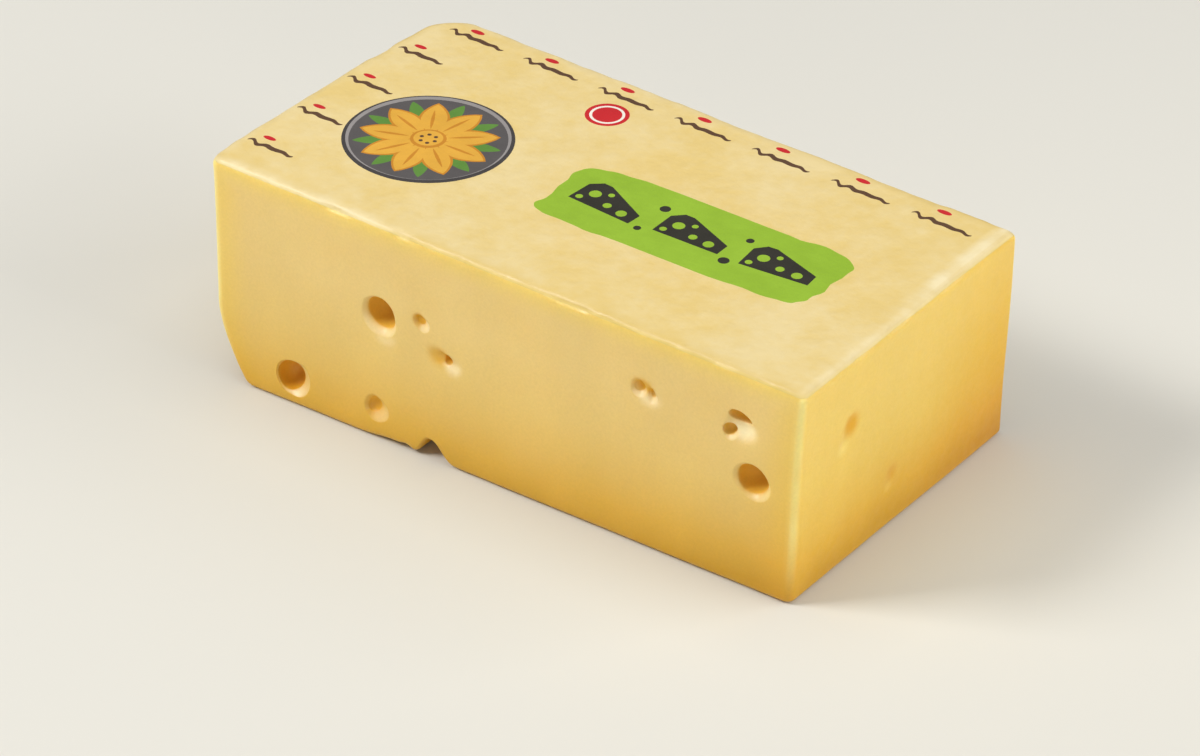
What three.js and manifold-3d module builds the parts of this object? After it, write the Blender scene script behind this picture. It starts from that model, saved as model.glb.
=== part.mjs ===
// A counter block of emmental cheese: a long slab cut from a bigger block, with open eyes in its two cut
// faces, shallow dimples in its ends, and a thin printed film on its top.
// Millimetres, +Z up. X runs along the block, from its left end to its right end, Y from its front face to
// its back face. The origin is the middle of the base.
import * as THREE from "three";
import { mergeVertices } from "three/addons/utils/BufferGeometryUtils.js";
import Module from "manifold-3d";

// Driving dimensions.
const LENGTH = 300;
const DEPTH = 158;
const HEIGHT = 105;
const FILM_THICKNESS = 0.3;
const FILM_MARGIN = 0.6; // from the film's edge to where the top begins to round over

// Radii of the rounded edges. The back left corner kept the round of the mould.
const UPRIGHT_RADIUS = { frontRight: 3.5, backRight: 2.6, backLeft: 15, frontLeft: 5 };
const TOP_RADIUS = 3.4;
const BASE_RADIUS = 3;

// The foot of the outer side: the left end tucks in towards the base.
const TUCK = 15; // how far at the base
const TUCK_HEIGHT = 36; // where it begins
const TUCK_POWER = 1.6; // 1 is a straight bevel
const TUCK_REACH = 60; // how far it is felt along X, from the left end

// How far each corner stands from the true box, along X and Y: the block is cut and pressed by hand.
const CORNER_SHIFT = {
  base: { leftFront: [0.9, -5.2], rightFront: [-2.8, 0.8], leftBack: [2, 4], rightBack: [0.6, 2] },
  top: { leftFront: [-5.6, 1.8], rightFront: [1.4, -0.4], leftBack: [2.4, 4.4], rightBack: [3.4, -1.3] },
};
const LEFT_END_BOW = 3; // how far the left end bulges at its middle
const WALL_WAVE = 0.45; // depth of the slow waves that the cutting wire leaves

// How finely the outline is divided.
const WALL_STEP = 14;
const ARC_STEP = Math.PI / 12;
const ROUND_OVER_STEPS = 4;
const WALL_RINGS = 9;

// Eyes and dimples. at is the middle of the mouth: along the face, then up from the base. mouth is half its
// width and height, depth its deepest point, and bulb how far below the face it is widest: a negative bulb
// is a dish that is widest outside the cheese. tilt turns the mouth, in degrees.
const FRONT_EYES = [
  { at: [-58.5, 61.3], mouth: [8, 9], depth: 15, bulb: 6, tilt: 14 },
  { at: [-37.5, 66.4], mouth: [3.3, 3.1], depth: 4.5, bulb: 1 },
  { at: [-28, 54.8], mouth: [7, 2.7], depth: 1.8, bulb: -2, tilt: -29 },
  { at: [-25.4, 52.4], mouth: [2.3, 2.5], depth: 5.5, bulb: 2 },
  { at: [-109.3, 12.4], mouth: [10.8, 9.6], depth: 8.5, bulb: -1.5 },
  { at: [-60.6, 14.6], mouth: [7.3, 7.8], depth: 5.6, bulb: -2.5 },
  { at: [71.2, 78.3], mouth: [3.9, 3.6], depth: 5, bulb: 1.5 },
  { at: [77.6, 76.2], mouth: [3.6, 4], depth: 4.6, bulb: 1 },
  { at: [121.2, 79.4], mouth: [9.2, 7.6], depth: 1.8, bulb: -6 },
  { at: [120, 83], mouth: [6, 2.4], depth: 7, bulb: 1.6, tilt: -7 },
  { at: [115, 75.6], mouth: [3.6, 3.3], depth: 5.5, bulb: 1 },
  { at: [128, 54.5], mouth: [8, 8.6], depth: 14, bulb: 5, tilt: 10 },
];
const BACK_EYES = [
  { at: [-96, 68], mouth: [7.4, 8], depth: 12, bulb: 4, tilt: 8 },
  { at: [-70, 27], mouth: [9, 8.4], depth: 8, bulb: -1 },
  { at: [-22, 60], mouth: [6, 6.6], depth: 9, bulb: 2.5 },
  { at: [12, 83], mouth: [3.4, 3.2], depth: 4.5, bulb: 1 },
  { at: [31, 33], mouth: [8.6, 9], depth: 15, bulb: 6, tilt: -12 },
  { at: [46, 45], mouth: [3.9, 3.5], depth: 5, bulb: 1.5 },
  { at: [88, 63], mouth: [8.2, 7.4], depth: 13, bulb: 4.5 },
  { at: [112, 24], mouth: [5.6, 5.9], depth: 5, bulb: -2 },
];
const RIGHT_END_EYES = [
  { at: [-44, 67.4], mouth: [5.3, 9.4], depth: 4.6, bulb: -3 },
  { at: [-9.5, 26], mouth: [6, 6.2], depth: 2.6, bulb: -6 },
];
const LEFT_END_EYES = [
  { at: [-34, 66], mouth: [6.8, 7.2], depth: 4, bulb: -4 },
  { at: [24, 36], mouth: [5.2, 4.8], depth: 2.8, bulb: -5 },
];
const WIDE_EYE = 5; // half-width from which a mouth gets the finer sphere

// An eye that the front bottom edge cuts open: the lobes of the arch that it leaves, each by its middle and
// its half-sizes along X, Y and Z.
const NOTCH_LOBES = [
  { at: [-33.4, -79, -0.4], size: [9.4, 13, 11] },
  { at: [-43.5, -79, -1.2], size: [8, 9, 5.4] },
];

const wasm = await Module();
wasm.setup();

/** Moves a point of the true box to where it is on the uneven block. */
function settle(x, y, z) {
  const along = x / LENGTH + 0.5;
  const back = y / DEPTH + 0.5;
  const up = THREE.MathUtils.clamp(z / HEIGHT, 0, 1);
  const shift = [0, 0];
  for (const [level, share] of [["base", 1 - up], ["top", up]]) {
    const corner = CORNER_SHIFT[level];
    for (const axis of [0, 1]) {
      const front = THREE.MathUtils.lerp(corner.leftFront[axis], corner.rightFront[axis], along);
      const rear = THREE.MathUtils.lerp(corner.leftBack[axis], corner.rightBack[axis], along);
      shift[axis] += share * THREE.MathUtils.lerp(front, rear, back);
    }
  }
  const bow = LEFT_END_BOW * (1 - (2 * back - 1) ** 2) * (1 - along) ** 3;
  const low = Math.max(0, 1 - z / TUCK_HEIGHT) ** TUCK_POWER;
  const tuck = TUCK * low * (1 - THREE.MathUtils.smoothstep(x, -LENGTH / 2, TUCK_REACH - LENGTH / 2));
  // The waves fade out towards the base and the top, which stay flat.
  const wave = WALL_WAVE * Math.sin(Math.PI * up);
  const waveX = wave * Math.sin(y / 19 + z / 31) * (2 * along - 1);
  const waveY = wave * (Math.sin(x / 27 + z / 23) + 0.5 * Math.sin(x / 11 - z / 17)) * (2 * back - 1);
  return new THREE.Vector3(x + shift[0] - bow + tuck + waveX, y + shift[1] + waveY, z);
}

/**
 * The points of the block's outline seen from above. Each comes with its spread, the way it moves when the
 * outline grows by one millimetre: straight out on the walls and out on both axes at the corners.
 */
function planOutline() {
  const corners = [
    { x: 1, y: -1, radius: UPRIGHT_RADIUS.frontRight },
    { x: 1, y: 1, radius: UPRIGHT_RADIUS.backRight },
    { x: -1, y: 1, radius: UPRIGHT_RADIUS.backLeft },
    { x: -1, y: -1, radius: UPRIGHT_RADIUS.frontLeft },
  ];
  const arcs = corners.map(({ x, y, radius }, i) => {
    const centre = new THREE.Vector2(x * (LENGTH / 2 - radius), y * (DEPTH / 2 - radius));
    const steps = Math.round(Math.PI / 2 / ARC_STEP);
    return Array.from({ length: steps + 1 }, (_, k) => {
      const angle = (i - 1 + k / steps) * (Math.PI / 2);
      const outward = new THREE.Vector2(Math.cos(angle), Math.sin(angle));
      return { point: centre.clone().addScaledVector(outward, radius), spread: new THREE.Vector2(x, y) };
    });
  });
  return arcs.flatMap((arc, i) => {
    const from = arc[arc.length - 1];
    const to = arcs[(i + 1) % arcs.length][0];
    const steps = Math.max(2, Math.round(from.point.distanceTo(to.point) / WALL_STEP));
    const wall = Array.from({ length: steps - 1 }, (_, k) => ({
      point: from.point.clone().lerp(to.point, (k + 1) / steps),
      spread: from.spread.clone().lerp(to.spread, (k + 1) / steps),
    }));
    return [...arc, ...wall];
  });
}

/** A closed solid through level rings that all have the same number of points, capped at both ends. */
function loft(rings) {
  const count = rings[0].length;
  const points = rings.flat();
  const indices = [];
  for (let r = 0; r + 1 < rings.length; r++) {
    for (let i = 0; i < count; i++) {
      const j = (i + 1) % count;
      const [a, b, c, d] = [r * count + i, r * count + j, (r + 1) * count + j, (r + 1) * count + i];
      indices.push(a, b, c, a, c, d);
    }
  }
  const last = rings.length - 1;
  const hubs = [0, last].map((r) => {
    const sum = rings[r].reduce((total, p) => total.add(p), new THREE.Vector3());
    return points.push(sum.divideScalar(count)) - 1;
  });
  for (let i = 0; i < count; i++) {
    const j = (i + 1) % count;
    indices.push(hubs[0], j, i, hubs[1], last * count + i, last * count + j);
  }
  const geometry = new THREE.BufferGeometry().setFromPoints(points);
  geometry.setIndex(indices);
  return geometry;
}

/** One level ring of the block, drawn in from the outline. */
function ringAt(outline, inset, height) {
  return outline.map(({ point, spread }) =>
    settle(point.x - inset * spread.x, point.y - inset * spread.y, height),
  );
}

/** The uneven slab with rounded edges, before its eyes are opened. */
function slabGeometry() {
  const outline = planOutline();
  const roundOver = (k) => (k / ROUND_OVER_STEPS) * (Math.PI / 2);
  const rings = [];
  for (let k = 0; k <= ROUND_OVER_STEPS; k++) {
    const inset = BASE_RADIUS * (1 - Math.sin(roundOver(k)));
    rings.push(ringAt(outline, inset, BASE_RADIUS * (1 - Math.cos(roundOver(k)))));
  }
  // The wall's rings lie closer together towards the base, where the left end tucks in.
  const wallTop = HEIGHT - TOP_RADIUS;
  for (let k = 1; k < WALL_RINGS; k++) {
    rings.push(ringAt(outline, 0, THREE.MathUtils.lerp(BASE_RADIUS, wallTop, (k / WALL_RINGS) ** 1.6)));
  }
  for (let k = 0; k <= ROUND_OVER_STEPS; k++) {
    const inset = TOP_RADIUS * (1 - Math.cos(roundOver(k)));
    rings.push(ringAt(outline, inset, wallTop + TOP_RADIUS * Math.sin(roundOver(k))));
  }
  return loft(rings);
}

/** The film: a plate on the flat of the top, with the outline of the block. */
function filmGeometry() {
  const outline = planOutline();
  const levels = [HEIGHT, HEIGHT + FILM_THICKNESS];
  return loft(levels.map((level) => ringAt(outline, TOP_RADIUS + FILM_MARGIN, level)));
}

/** A closed geometry as a solid that can be joined and cut. */
function toSolid(geometry) {
  const bare = geometry.clone();
  bare.deleteAttribute("normal");
  bare.deleteAttribute("uv");
  const merged = mergeVertices(bare);
  return new wasm.Manifold(
    new wasm.Mesh({
      numProp: 3,
      vertProperties: new Float32Array(merged.attributes.position.array),
      triVerts: new Uint32Array(merged.index.array),
    }),
  );
}

/** A solid's surface as a geometry. */
function toGeometry(solid) {
  const { vertProperties, triVerts } = solid.getMesh();
  const geometry = new THREE.BufferGeometry();
  geometry.setAttribute("position", new THREE.BufferAttribute(vertProperties, 3));
  geometry.setIndex(new THREE.BufferAttribute(triVerts, 1));
  return geometry;
}

/** An ellipsoid with these half-sizes, as a solid. */
function ellipsoid(size, place, around = 24) {
  const geometry = new THREE.SphereGeometry(1, around, Math.round(around * 0.6));
  geometry.scale(...size);
  geometry.applyMatrix4(place);
  return toSolid(geometry);
}

/** The hollow that an eye leaves in a face. turn carries the front face to that face. */
function eyeHollow({ at, mouth, depth, bulb, tilt = 0 }, turn, faceDistance) {
  const reach = depth - bulb;
  const widening = 1 / Math.sqrt(1 - (bulb / reach) ** 2);
  const onFace = new THREE.Vector3(at[0], -faceDistance, at[1]).applyMatrix4(turn);
  const place = new THREE.Matrix4().setPosition(settle(onFace.x, onFace.y, onFace.z));
  place.multiply(turn);
  place.multiply(new THREE.Matrix4().makeTranslation(0, bulb, 0));
  place.multiply(new THREE.Matrix4().makeRotationY(-THREE.MathUtils.degToRad(tilt)));
  const around = Math.max(...mouth) < WIDE_EYE ? 14 : 22;
  return ellipsoid([mouth[0] * widening, reach, mouth[1] * widening], place, around);
}

/** The hollows of every face. */
function allHollows() {
  const halfTurn = new THREE.Matrix4().makeRotationZ(Math.PI);
  const mirrored = BACK_EYES.map((eye) => ({ ...eye, at: [-eye.at[0], eye.at[1]] }));
  const faces = [
    { eyes: FRONT_EYES, turn: new THREE.Matrix4(), distance: DEPTH / 2 },
    { eyes: mirrored, turn: halfTurn, distance: DEPTH / 2 },
    { eyes: RIGHT_END_EYES, turn: new THREE.Matrix4().makeRotationZ(Math.PI / 2), distance: LENGTH / 2 },
    { eyes: LEFT_END_EYES, turn: new THREE.Matrix4().makeRotationZ(-Math.PI / 2), distance: LENGTH / 2 },
  ];
  const hollows = faces.flatMap(({ eyes, turn, distance }) =>
    eyes.map((eye) => eyeHollow(eye, turn, distance)),
  );
  const notch = NOTCH_LOBES.map(({ at, size }) =>
    ellipsoid(size, new THREE.Matrix4().setPosition(settle(...at))),
  );
  return [...hollows, ...notch];
}

/** The cheese: the slab less its eyes. */
function cheeseMesh() {
  const cheese = allHollows().reduce((solid, hollow) => solid.subtract(hollow), toSolid(slabGeometry()));
  const mesh = new THREE.Mesh(
    toGeometry(cheese),
    new THREE.MeshStandardMaterial({ color: 0xe8cf8c, roughness: 0.42, metalness: 0 }),
  );
  mesh.name = "cheese_block";
  return mesh;
}

/** The printed film. */
function filmMesh() {
  const mesh = new THREE.Mesh(
    filmGeometry(),
    new THREE.MeshStandardMaterial({ color: 0xf0d99b, roughness: 0.5, metalness: 0 }),
  );
  mesh.name = "printed_film";
  return mesh;
}

/** Puts the middle of the block's base at the origin. */
function centre(group) {
  const box = new THREE.Box3().setFromObject(group);
  const middle = box.getCenter(new THREE.Vector3());
  for (const mesh of group.children) mesh.geometry.translate(-middle.x, -middle.y, 0);
}

const block = new THREE.Group();
block.add(cheeseMesh(), filmMesh());
centre(block);

export default block;
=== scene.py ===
"""The looks of a counter block of emmental cheese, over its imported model.

The block and its printed film are built again as fine meshes, from the same named sizes as the part.
Shapes are worked out in millimetres, in the part's own frame before its base is centred, and stored in
metres.
"""
import logging
import math
from collections.abc import Iterable, Sequence
from dataclasses import dataclass
from enum import Enum

import bpy
import bmesh
import numpy as np
from mathutils import Matrix, Vector
from mathutils.geometry import delaunay_2d_cdt


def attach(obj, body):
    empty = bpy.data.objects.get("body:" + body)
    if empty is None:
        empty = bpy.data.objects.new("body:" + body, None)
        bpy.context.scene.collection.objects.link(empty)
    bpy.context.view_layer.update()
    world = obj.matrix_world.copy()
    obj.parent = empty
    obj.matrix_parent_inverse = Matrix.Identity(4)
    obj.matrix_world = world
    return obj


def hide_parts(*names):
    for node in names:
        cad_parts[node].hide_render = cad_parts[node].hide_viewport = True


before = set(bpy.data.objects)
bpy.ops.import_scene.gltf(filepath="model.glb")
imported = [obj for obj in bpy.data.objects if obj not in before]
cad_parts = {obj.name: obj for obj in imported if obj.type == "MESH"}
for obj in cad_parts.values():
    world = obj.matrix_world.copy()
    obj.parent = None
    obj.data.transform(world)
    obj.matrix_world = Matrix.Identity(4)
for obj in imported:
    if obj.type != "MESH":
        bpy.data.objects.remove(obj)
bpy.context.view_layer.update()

log = logging.getLogger("emmental")

MM = 0.001
Pair = tuple[float, float]


# Small helpers

def smoothstep(low: float, high: float, value: np.ndarray) -> np.ndarray:
    """Rises smoothly from 0 at low to 1 at high.

    Args:
        low: Where the rise begins.
        high: Where it ends.
        value: The numbers to look up.

    Returns:
        The height of the rise at each number.
    """
    t = np.clip((np.asarray(value, float) - low) / (high - low), 0.0, 1.0)
    return t * t * (3.0 - 2.0 * t)


def turned(p: np.ndarray, q: np.ndarray, tilt: float, at: Sequence[float]) -> np.ndarray:
    """Turns flat places about their origin and moves them.

    Args:
        p: Their first coordinates.
        q: Their second ones.
        tilt: The turn to the left, in degrees.
        at: Where the origin goes.

    Returns:
        One row for each place.
    """
    c, s = math.cos(math.radians(tilt)), math.sin(math.radians(tilt))
    return np.stack([at[0] + p * c - q * s, at[1] + p * s + q * c], axis=-1)


def turned_back(x: np.ndarray, y: np.ndarray, tilt: float, at: Pair) -> tuple[np.ndarray, np.ndarray]:
    """Undoes what turned does.

    Args:
        x: The first coordinates of turned places.
        y: Their second ones.
        tilt: The turn to the left that they were given, in degrees.
        at: Where their origin went.

    Returns:
        Their first and second coordinates before the turn.
    """
    c, s = math.cos(math.radians(tilt)), math.sin(math.radians(tilt))
    dx, dy = x - at[0], y - at[1]
    return dx * c + dy * s, dy * c - dx * s


def flat_grid(low: Pair, high: Pair, step: float) -> np.ndarray:
    """A square grid of flat places.

    Args:
        low: Its first corner.
        high: Where it ends, which is just past its last corner.
        step: Its spacing.

    Returns:
        Rows of x and y.
    """
    x, y = np.meshgrid(np.arange(low[0], high[0], step), np.arange(low[1], high[1], step))
    return np.stack([x.ravel(), y.ravel()], axis=-1)


@dataclass(frozen=True)
class Waviness:
    """Slow uneven waves through space, from a seeded sum of sines. Wavelengths are in millimetres."""

    shortest: float
    longest: float
    seed: int
    count: int = 14

    def at(self, points: np.ndarray) -> np.ndarray:
        """Looks the waves up.

        Args:
            points: Places in millimetres, one row each.

        Returns:
            A value at each place, nearly all of them between -1 and 1.
        """
        draw = np.random.default_rng(self.seed)
        total = np.zeros(len(points))
        for _ in range(self.count):
            direction = draw.normal(size=3)
            direction /= np.linalg.norm(direction)
            wavelength = draw.uniform(self.shortest, self.longest)
            total += np.sin(points @ direction * (math.tau / wavelength) + draw.uniform(0.0, math.tau))
        return total / math.sqrt(self.count)

    def share(self, points: np.ndarray) -> np.ndarray:
        """The waves at each place, as a share from 0 to 1."""
        return 0.5 + 0.5 * np.clip(self.at(points), -1.0, 1.0)


def linear(colour: str) -> tuple[float, float, float, float]:
    """Turns an sRGB hex colour to the linear one that shaders take.

    Args:
        colour: Six hex digits after a hash.

    Returns:
        Linear red, green and blue, and an alpha of 1.
    """
    parts = [int(colour[i : i + 2], 16) / 255.0 for i in (1, 3, 5)]
    red, green, blue = (c / 12.92 if c <= 0.04045 else ((c + 0.055) / 1.055) ** 2.4 for c in parts)
    return red, green, blue, 1.0


def add_object(name: str, data: bpy.types.ID) -> bpy.types.Object:
    """Adds an object that shows a mesh, a lamp or a camera.

    Args:
        name: Its name.
        data: What it shows.

    Returns:
        The object, in the scene.
    """
    thing = bpy.data.objects.new(name, data)
    bpy.context.collection.objects.link(thing)
    return thing


def empty_material(name: str) -> bpy.types.Material:
    """Makes a material whose node tree is empty.

    Args:
        name: Its name.

    Returns:
        The material.
    """
    material = bpy.data.materials.new(name)
    material.use_nodes = True
    material.node_tree.nodes.clear()
    return material


def add_node(
    tree: bpy.types.NodeTree,
    kind: str,
    settings: dict | None = None,
    links: dict | None = None,
) -> bpy.types.Node:
    """Adds a node with its settings and links.

    Args:
        tree: The material's node tree.
        kind: The node's type name, without the leading "ShaderNode".
        settings: Property and socket values. A name that is a property of the node sets that property.
        links: Socket name or number to what feeds it: an output, or a node for its first output in use.

    Returns:
        The new node.
    """
    node = tree.nodes.new(f"ShaderNode{kind}")
    for name, value in (settings or {}).items():
        if isinstance(name, str) and hasattr(node, name):
            setattr(node, name, value)
        else:
            node.inputs[name].default_value = value
    for name, source in (links or {}).items():
        if isinstance(source, bpy.types.Node):
            source = next(output for output in source.outputs if output.enabled)
        tree.links.new(source, node.inputs[name])
    return node


# The form that the block and its film share

@dataclass(frozen=True)
class WallFrame:
    """One upright face of the true box: the way along it, the way out, and its distance from the middle."""

    along: Pair
    outward: Pair
    distance: float

    def place(self, u: np.ndarray, z: np.ndarray, inward: np.ndarray) -> np.ndarray:
        """Turns places on the face into points in space.

        Args:
            u: Along the face, in millimetres.
            z: Up from the base.
            inward: How far below the face.

        Returns:
            One row of x, y and z for each place.
        """
        u, z, inward = np.broadcast_arrays(np.asarray(u, float), z, inward)
        out = self.distance - inward
        x = u * self.along[0] + out * self.outward[0]
        y = u * self.along[1] + out * self.outward[1]
        return np.stack([x, y, z], axis=-1).reshape(-1, 3)


class Wall(Enum):
    """The four upright faces."""

    RIGHT = WallFrame((0.0, 1.0), (1.0, 0.0), 150.0)
    BACK = WallFrame((1.0, 0.0), (0.0, 1.0), 79.0)
    LEFT = WallFrame((0.0, 1.0), (-1.0, 0.0), 150.0)
    FRONT = WallFrame((1.0, 0.0), (0.0, -1.0), 79.0)


@dataclass(frozen=True)
class StepZones:
    """The spacing of columns along a wall, finer inside one zone."""

    step: float
    fine_step: float = 0.0
    fine: Pair = (0.0, 0.0)

    def between(self, start: float, end: float) -> list[float]:
        """The stops between two ends.

        Args:
            start: The first end, which isn't among the stops.
            end: The last end, which isn't either.

        Returns:
            The stops in order from start to end.
        """
        low, high = min(start, end), max(start, end)
        knots = [low, *self.fine, high] if self.fine_step else [low, high]
        stops = []
        for a, b in zip(knots, knots[1:]):
            step = self.fine_step if (a, b) == self.fine else self.step
            count = max(2, round((b - a) / step))
            stops += [a + (b - a) * k / count for k in range(count)]
        stops = stops[1:]
        return stops if start < end else stops[::-1]


# Added to a wall's number where a column ends the wall: it stands on the wall and on a corner.
END_COLUMN = 10
# The number of a column that stands on a corner alone.
CORNER_COLUMN = -1


@dataclass(frozen=True)
class Outline:
    """The block's outline seen from above, as columns that run up the walls."""

    point: np.ndarray
    spread: np.ndarray
    outward: np.ndarray
    wall: np.ndarray

    def stops(self, wall: Wall) -> np.ndarray:
        """The columns that stand on one wall, both of its end columns among them."""
        order = list(Wall).index(wall)
        return np.flatnonzero((self.wall == order) | (self.wall == order + END_COLUMN))


@dataclass(frozen=True)
class BlockForm:
    """The uneven slab: a true box with rounded edges, settled the way the cheese was cut and pressed."""

    length: float = 300.0
    depth: float = 158.0
    height: float = 105.0
    middle: Pair = (-1.189, -0.540)
    top_radius: float = 3.4
    base_radius: float = 3.0
    upright_radii: tuple[float, ...] = (3.5, 2.6, 15.0, 5.0)
    corners: tuple[tuple[int, int], ...] = ((1, -1), (1, 1), (-1, 1), (-1, -1))
    base_shift: tuple[Pair, ...] = ((-2.8, 0.8), (0.6, 2.0), (2.0, 4.0), (0.9, -5.2))
    top_shift: tuple[Pair, ...] = ((1.4, -0.4), (3.4, -1.3), (2.4, 4.4), (-5.6, 1.8))
    bow: float = 3.0
    tuck: float = 15.0
    tuck_height: float = 36.0
    tuck_power: float = 1.6
    tuck_reach: float = 60.0
    wave: float = 0.45
    # How far along and up the walls' gentle waves go in one radian.
    end_wave: Pair = (19.0, 31.0)
    long_wave: Pair = (27.0, 23.0)
    short_wave: Pair = (11.0, -17.0)

    def settle(self, points: np.ndarray) -> np.ndarray:
        """Moves points of the true box to where they are on the uneven block.

        Args:
            points: Rows of x, y and z in millimetres.

        Returns:
            The same points in metres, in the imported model's frame.
        """
        x, y, z = np.asarray(points, float).T
        right = x / self.length + 0.5
        back = y / self.depth + 0.5
        up = np.clip(z / self.height, 0.0, 1.0)
        shift = np.zeros((len(x), 2))
        for (side_x, side_y), base, top in zip(self.corners, self.base_shift, self.top_shift):
            share = (right if side_x > 0 else 1.0 - right) * (back if side_y > 0 else 1.0 - back)
            shift += share[:, None] * (np.outer(1.0 - up, base) + np.outer(up, top))
        bow = self.bow * (1.0 - (2.0 * back - 1.0) ** 2) * (1.0 - right) ** 3
        low = np.maximum(0.0, 1.0 - z / self.tuck_height) ** self.tuck_power
        tuck = self.tuck * low * (1.0 - smoothstep(-self.length / 2, self.tuck_reach - self.length / 2, x))
        wave = self.wave * np.sin(math.pi * up)
        ends = np.sin(y / self.end_wave[0] + z / self.end_wave[1])
        long, short = (np.sin(x / a + z / b) for a, b in (self.long_wave, self.short_wave))
        wave_x = wave * ends * (2.0 * right - 1.0)
        wave_y = wave * (long + 0.5 * short) * (2.0 * back - 1.0)
        settled = np.stack([x + shift[:, 0] - bow + tuck + wave_x, y + shift[:, 1] + wave_y, z], axis=-1)
        settled[:, :2] -= self.middle
        return settled * MM

    def outline(self, steps: dict[Wall, StepZones], arc_steps: Sequence[int]) -> Outline:
        """Divides the block's outline into columns.

        Args:
            steps: How finely each wall is divided.
            arc_steps: How many steps each rounded corner has.

        Returns:
            The columns, in order round the block from its front right corner.
        """
        point, spread, outward, wall = [], [], [], []
        half = np.array([self.length / 2, self.depth / 2])
        radii = self.upright_radii
        for i, (corner, radius, count) in enumerate(zip(self.corners, radii, arc_steps)):
            centre = (half - radius) * corner
            for k in range(count + 1):
                angle = (i - 1 + k / count) * math.pi / 2
                direction = np.array([math.cos(angle), math.sin(angle)])
                point.append(centre + radius * direction)
                spread.append(corner)
                outward.append(direction)
                ends = {0: END_COLUMN + (i - 1) % 4, count: END_COLUMN + i}
                wall.append(ends.get(k, CORNER_COLUMN))
            following, radius = self.corners[(i + 1) % 4], radii[(i + 1) % 4]
            begin, end = point[-1], (half - radius) * following + radius * direction
            face = list(Wall)[i].value
            u0, u1 = (float(np.dot(p, face.along)) for p in (begin, end))
            for u in steps[list(Wall)[i]].between(u0, u1):
                share = (u - u0) / (u1 - u0)
                point.append(begin + (end - begin) * share)
                spread.append(np.array(corner) + (np.array(following) - corner) * share)
                outward.append(np.array(face.outward))
                wall.append(i)
        return Outline(*(np.array(a) for a in (point, spread, outward, wall)))

    def inset(self, x: np.ndarray, y: np.ndarray) -> np.ndarray:
        """How far in from the outline a point seen from above lies.

        Args:
            x: Along the block.
            y: Across it.

        Returns:
            The inset of the level ring that passes through each point.
        """
        radius = np.zeros(np.shape(x))
        for (side_x, side_y), value in zip(self.corners, self.upright_radii):
            radius = np.where((np.sign(x) == side_x) & (np.sign(y) == side_y), value, radius)
        a = self.length / 2 - radius - np.abs(x)
        b = self.depth / 2 - radius - np.abs(y)
        on_arc = np.abs(a - b) < radius
        arc = (a + b + np.sqrt(np.maximum(0.0, 2.0 * radius**2 - (a - b) ** 2))) / 2
        return np.where(on_arc, arc, np.minimum(a, b) + radius)


# Features of the cheese's faces

@dataclass(frozen=True)
class Apron:
    """A side on which the lip of an eye is broad and slopes gently down into it."""

    toward: float
    width: float
    depth: float
    focus: float = 1.5
    # How much painted highlight the lip takes on this side, where it faces up into the light.
    pale: float = 1.0

    def share(self, direction: np.ndarray) -> np.ndarray:
        """How much of its breadth the lip has in each direction on the face, in radians."""
        return np.maximum(0.0, np.cos(direction - math.radians(self.toward))) ** self.focus


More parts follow.
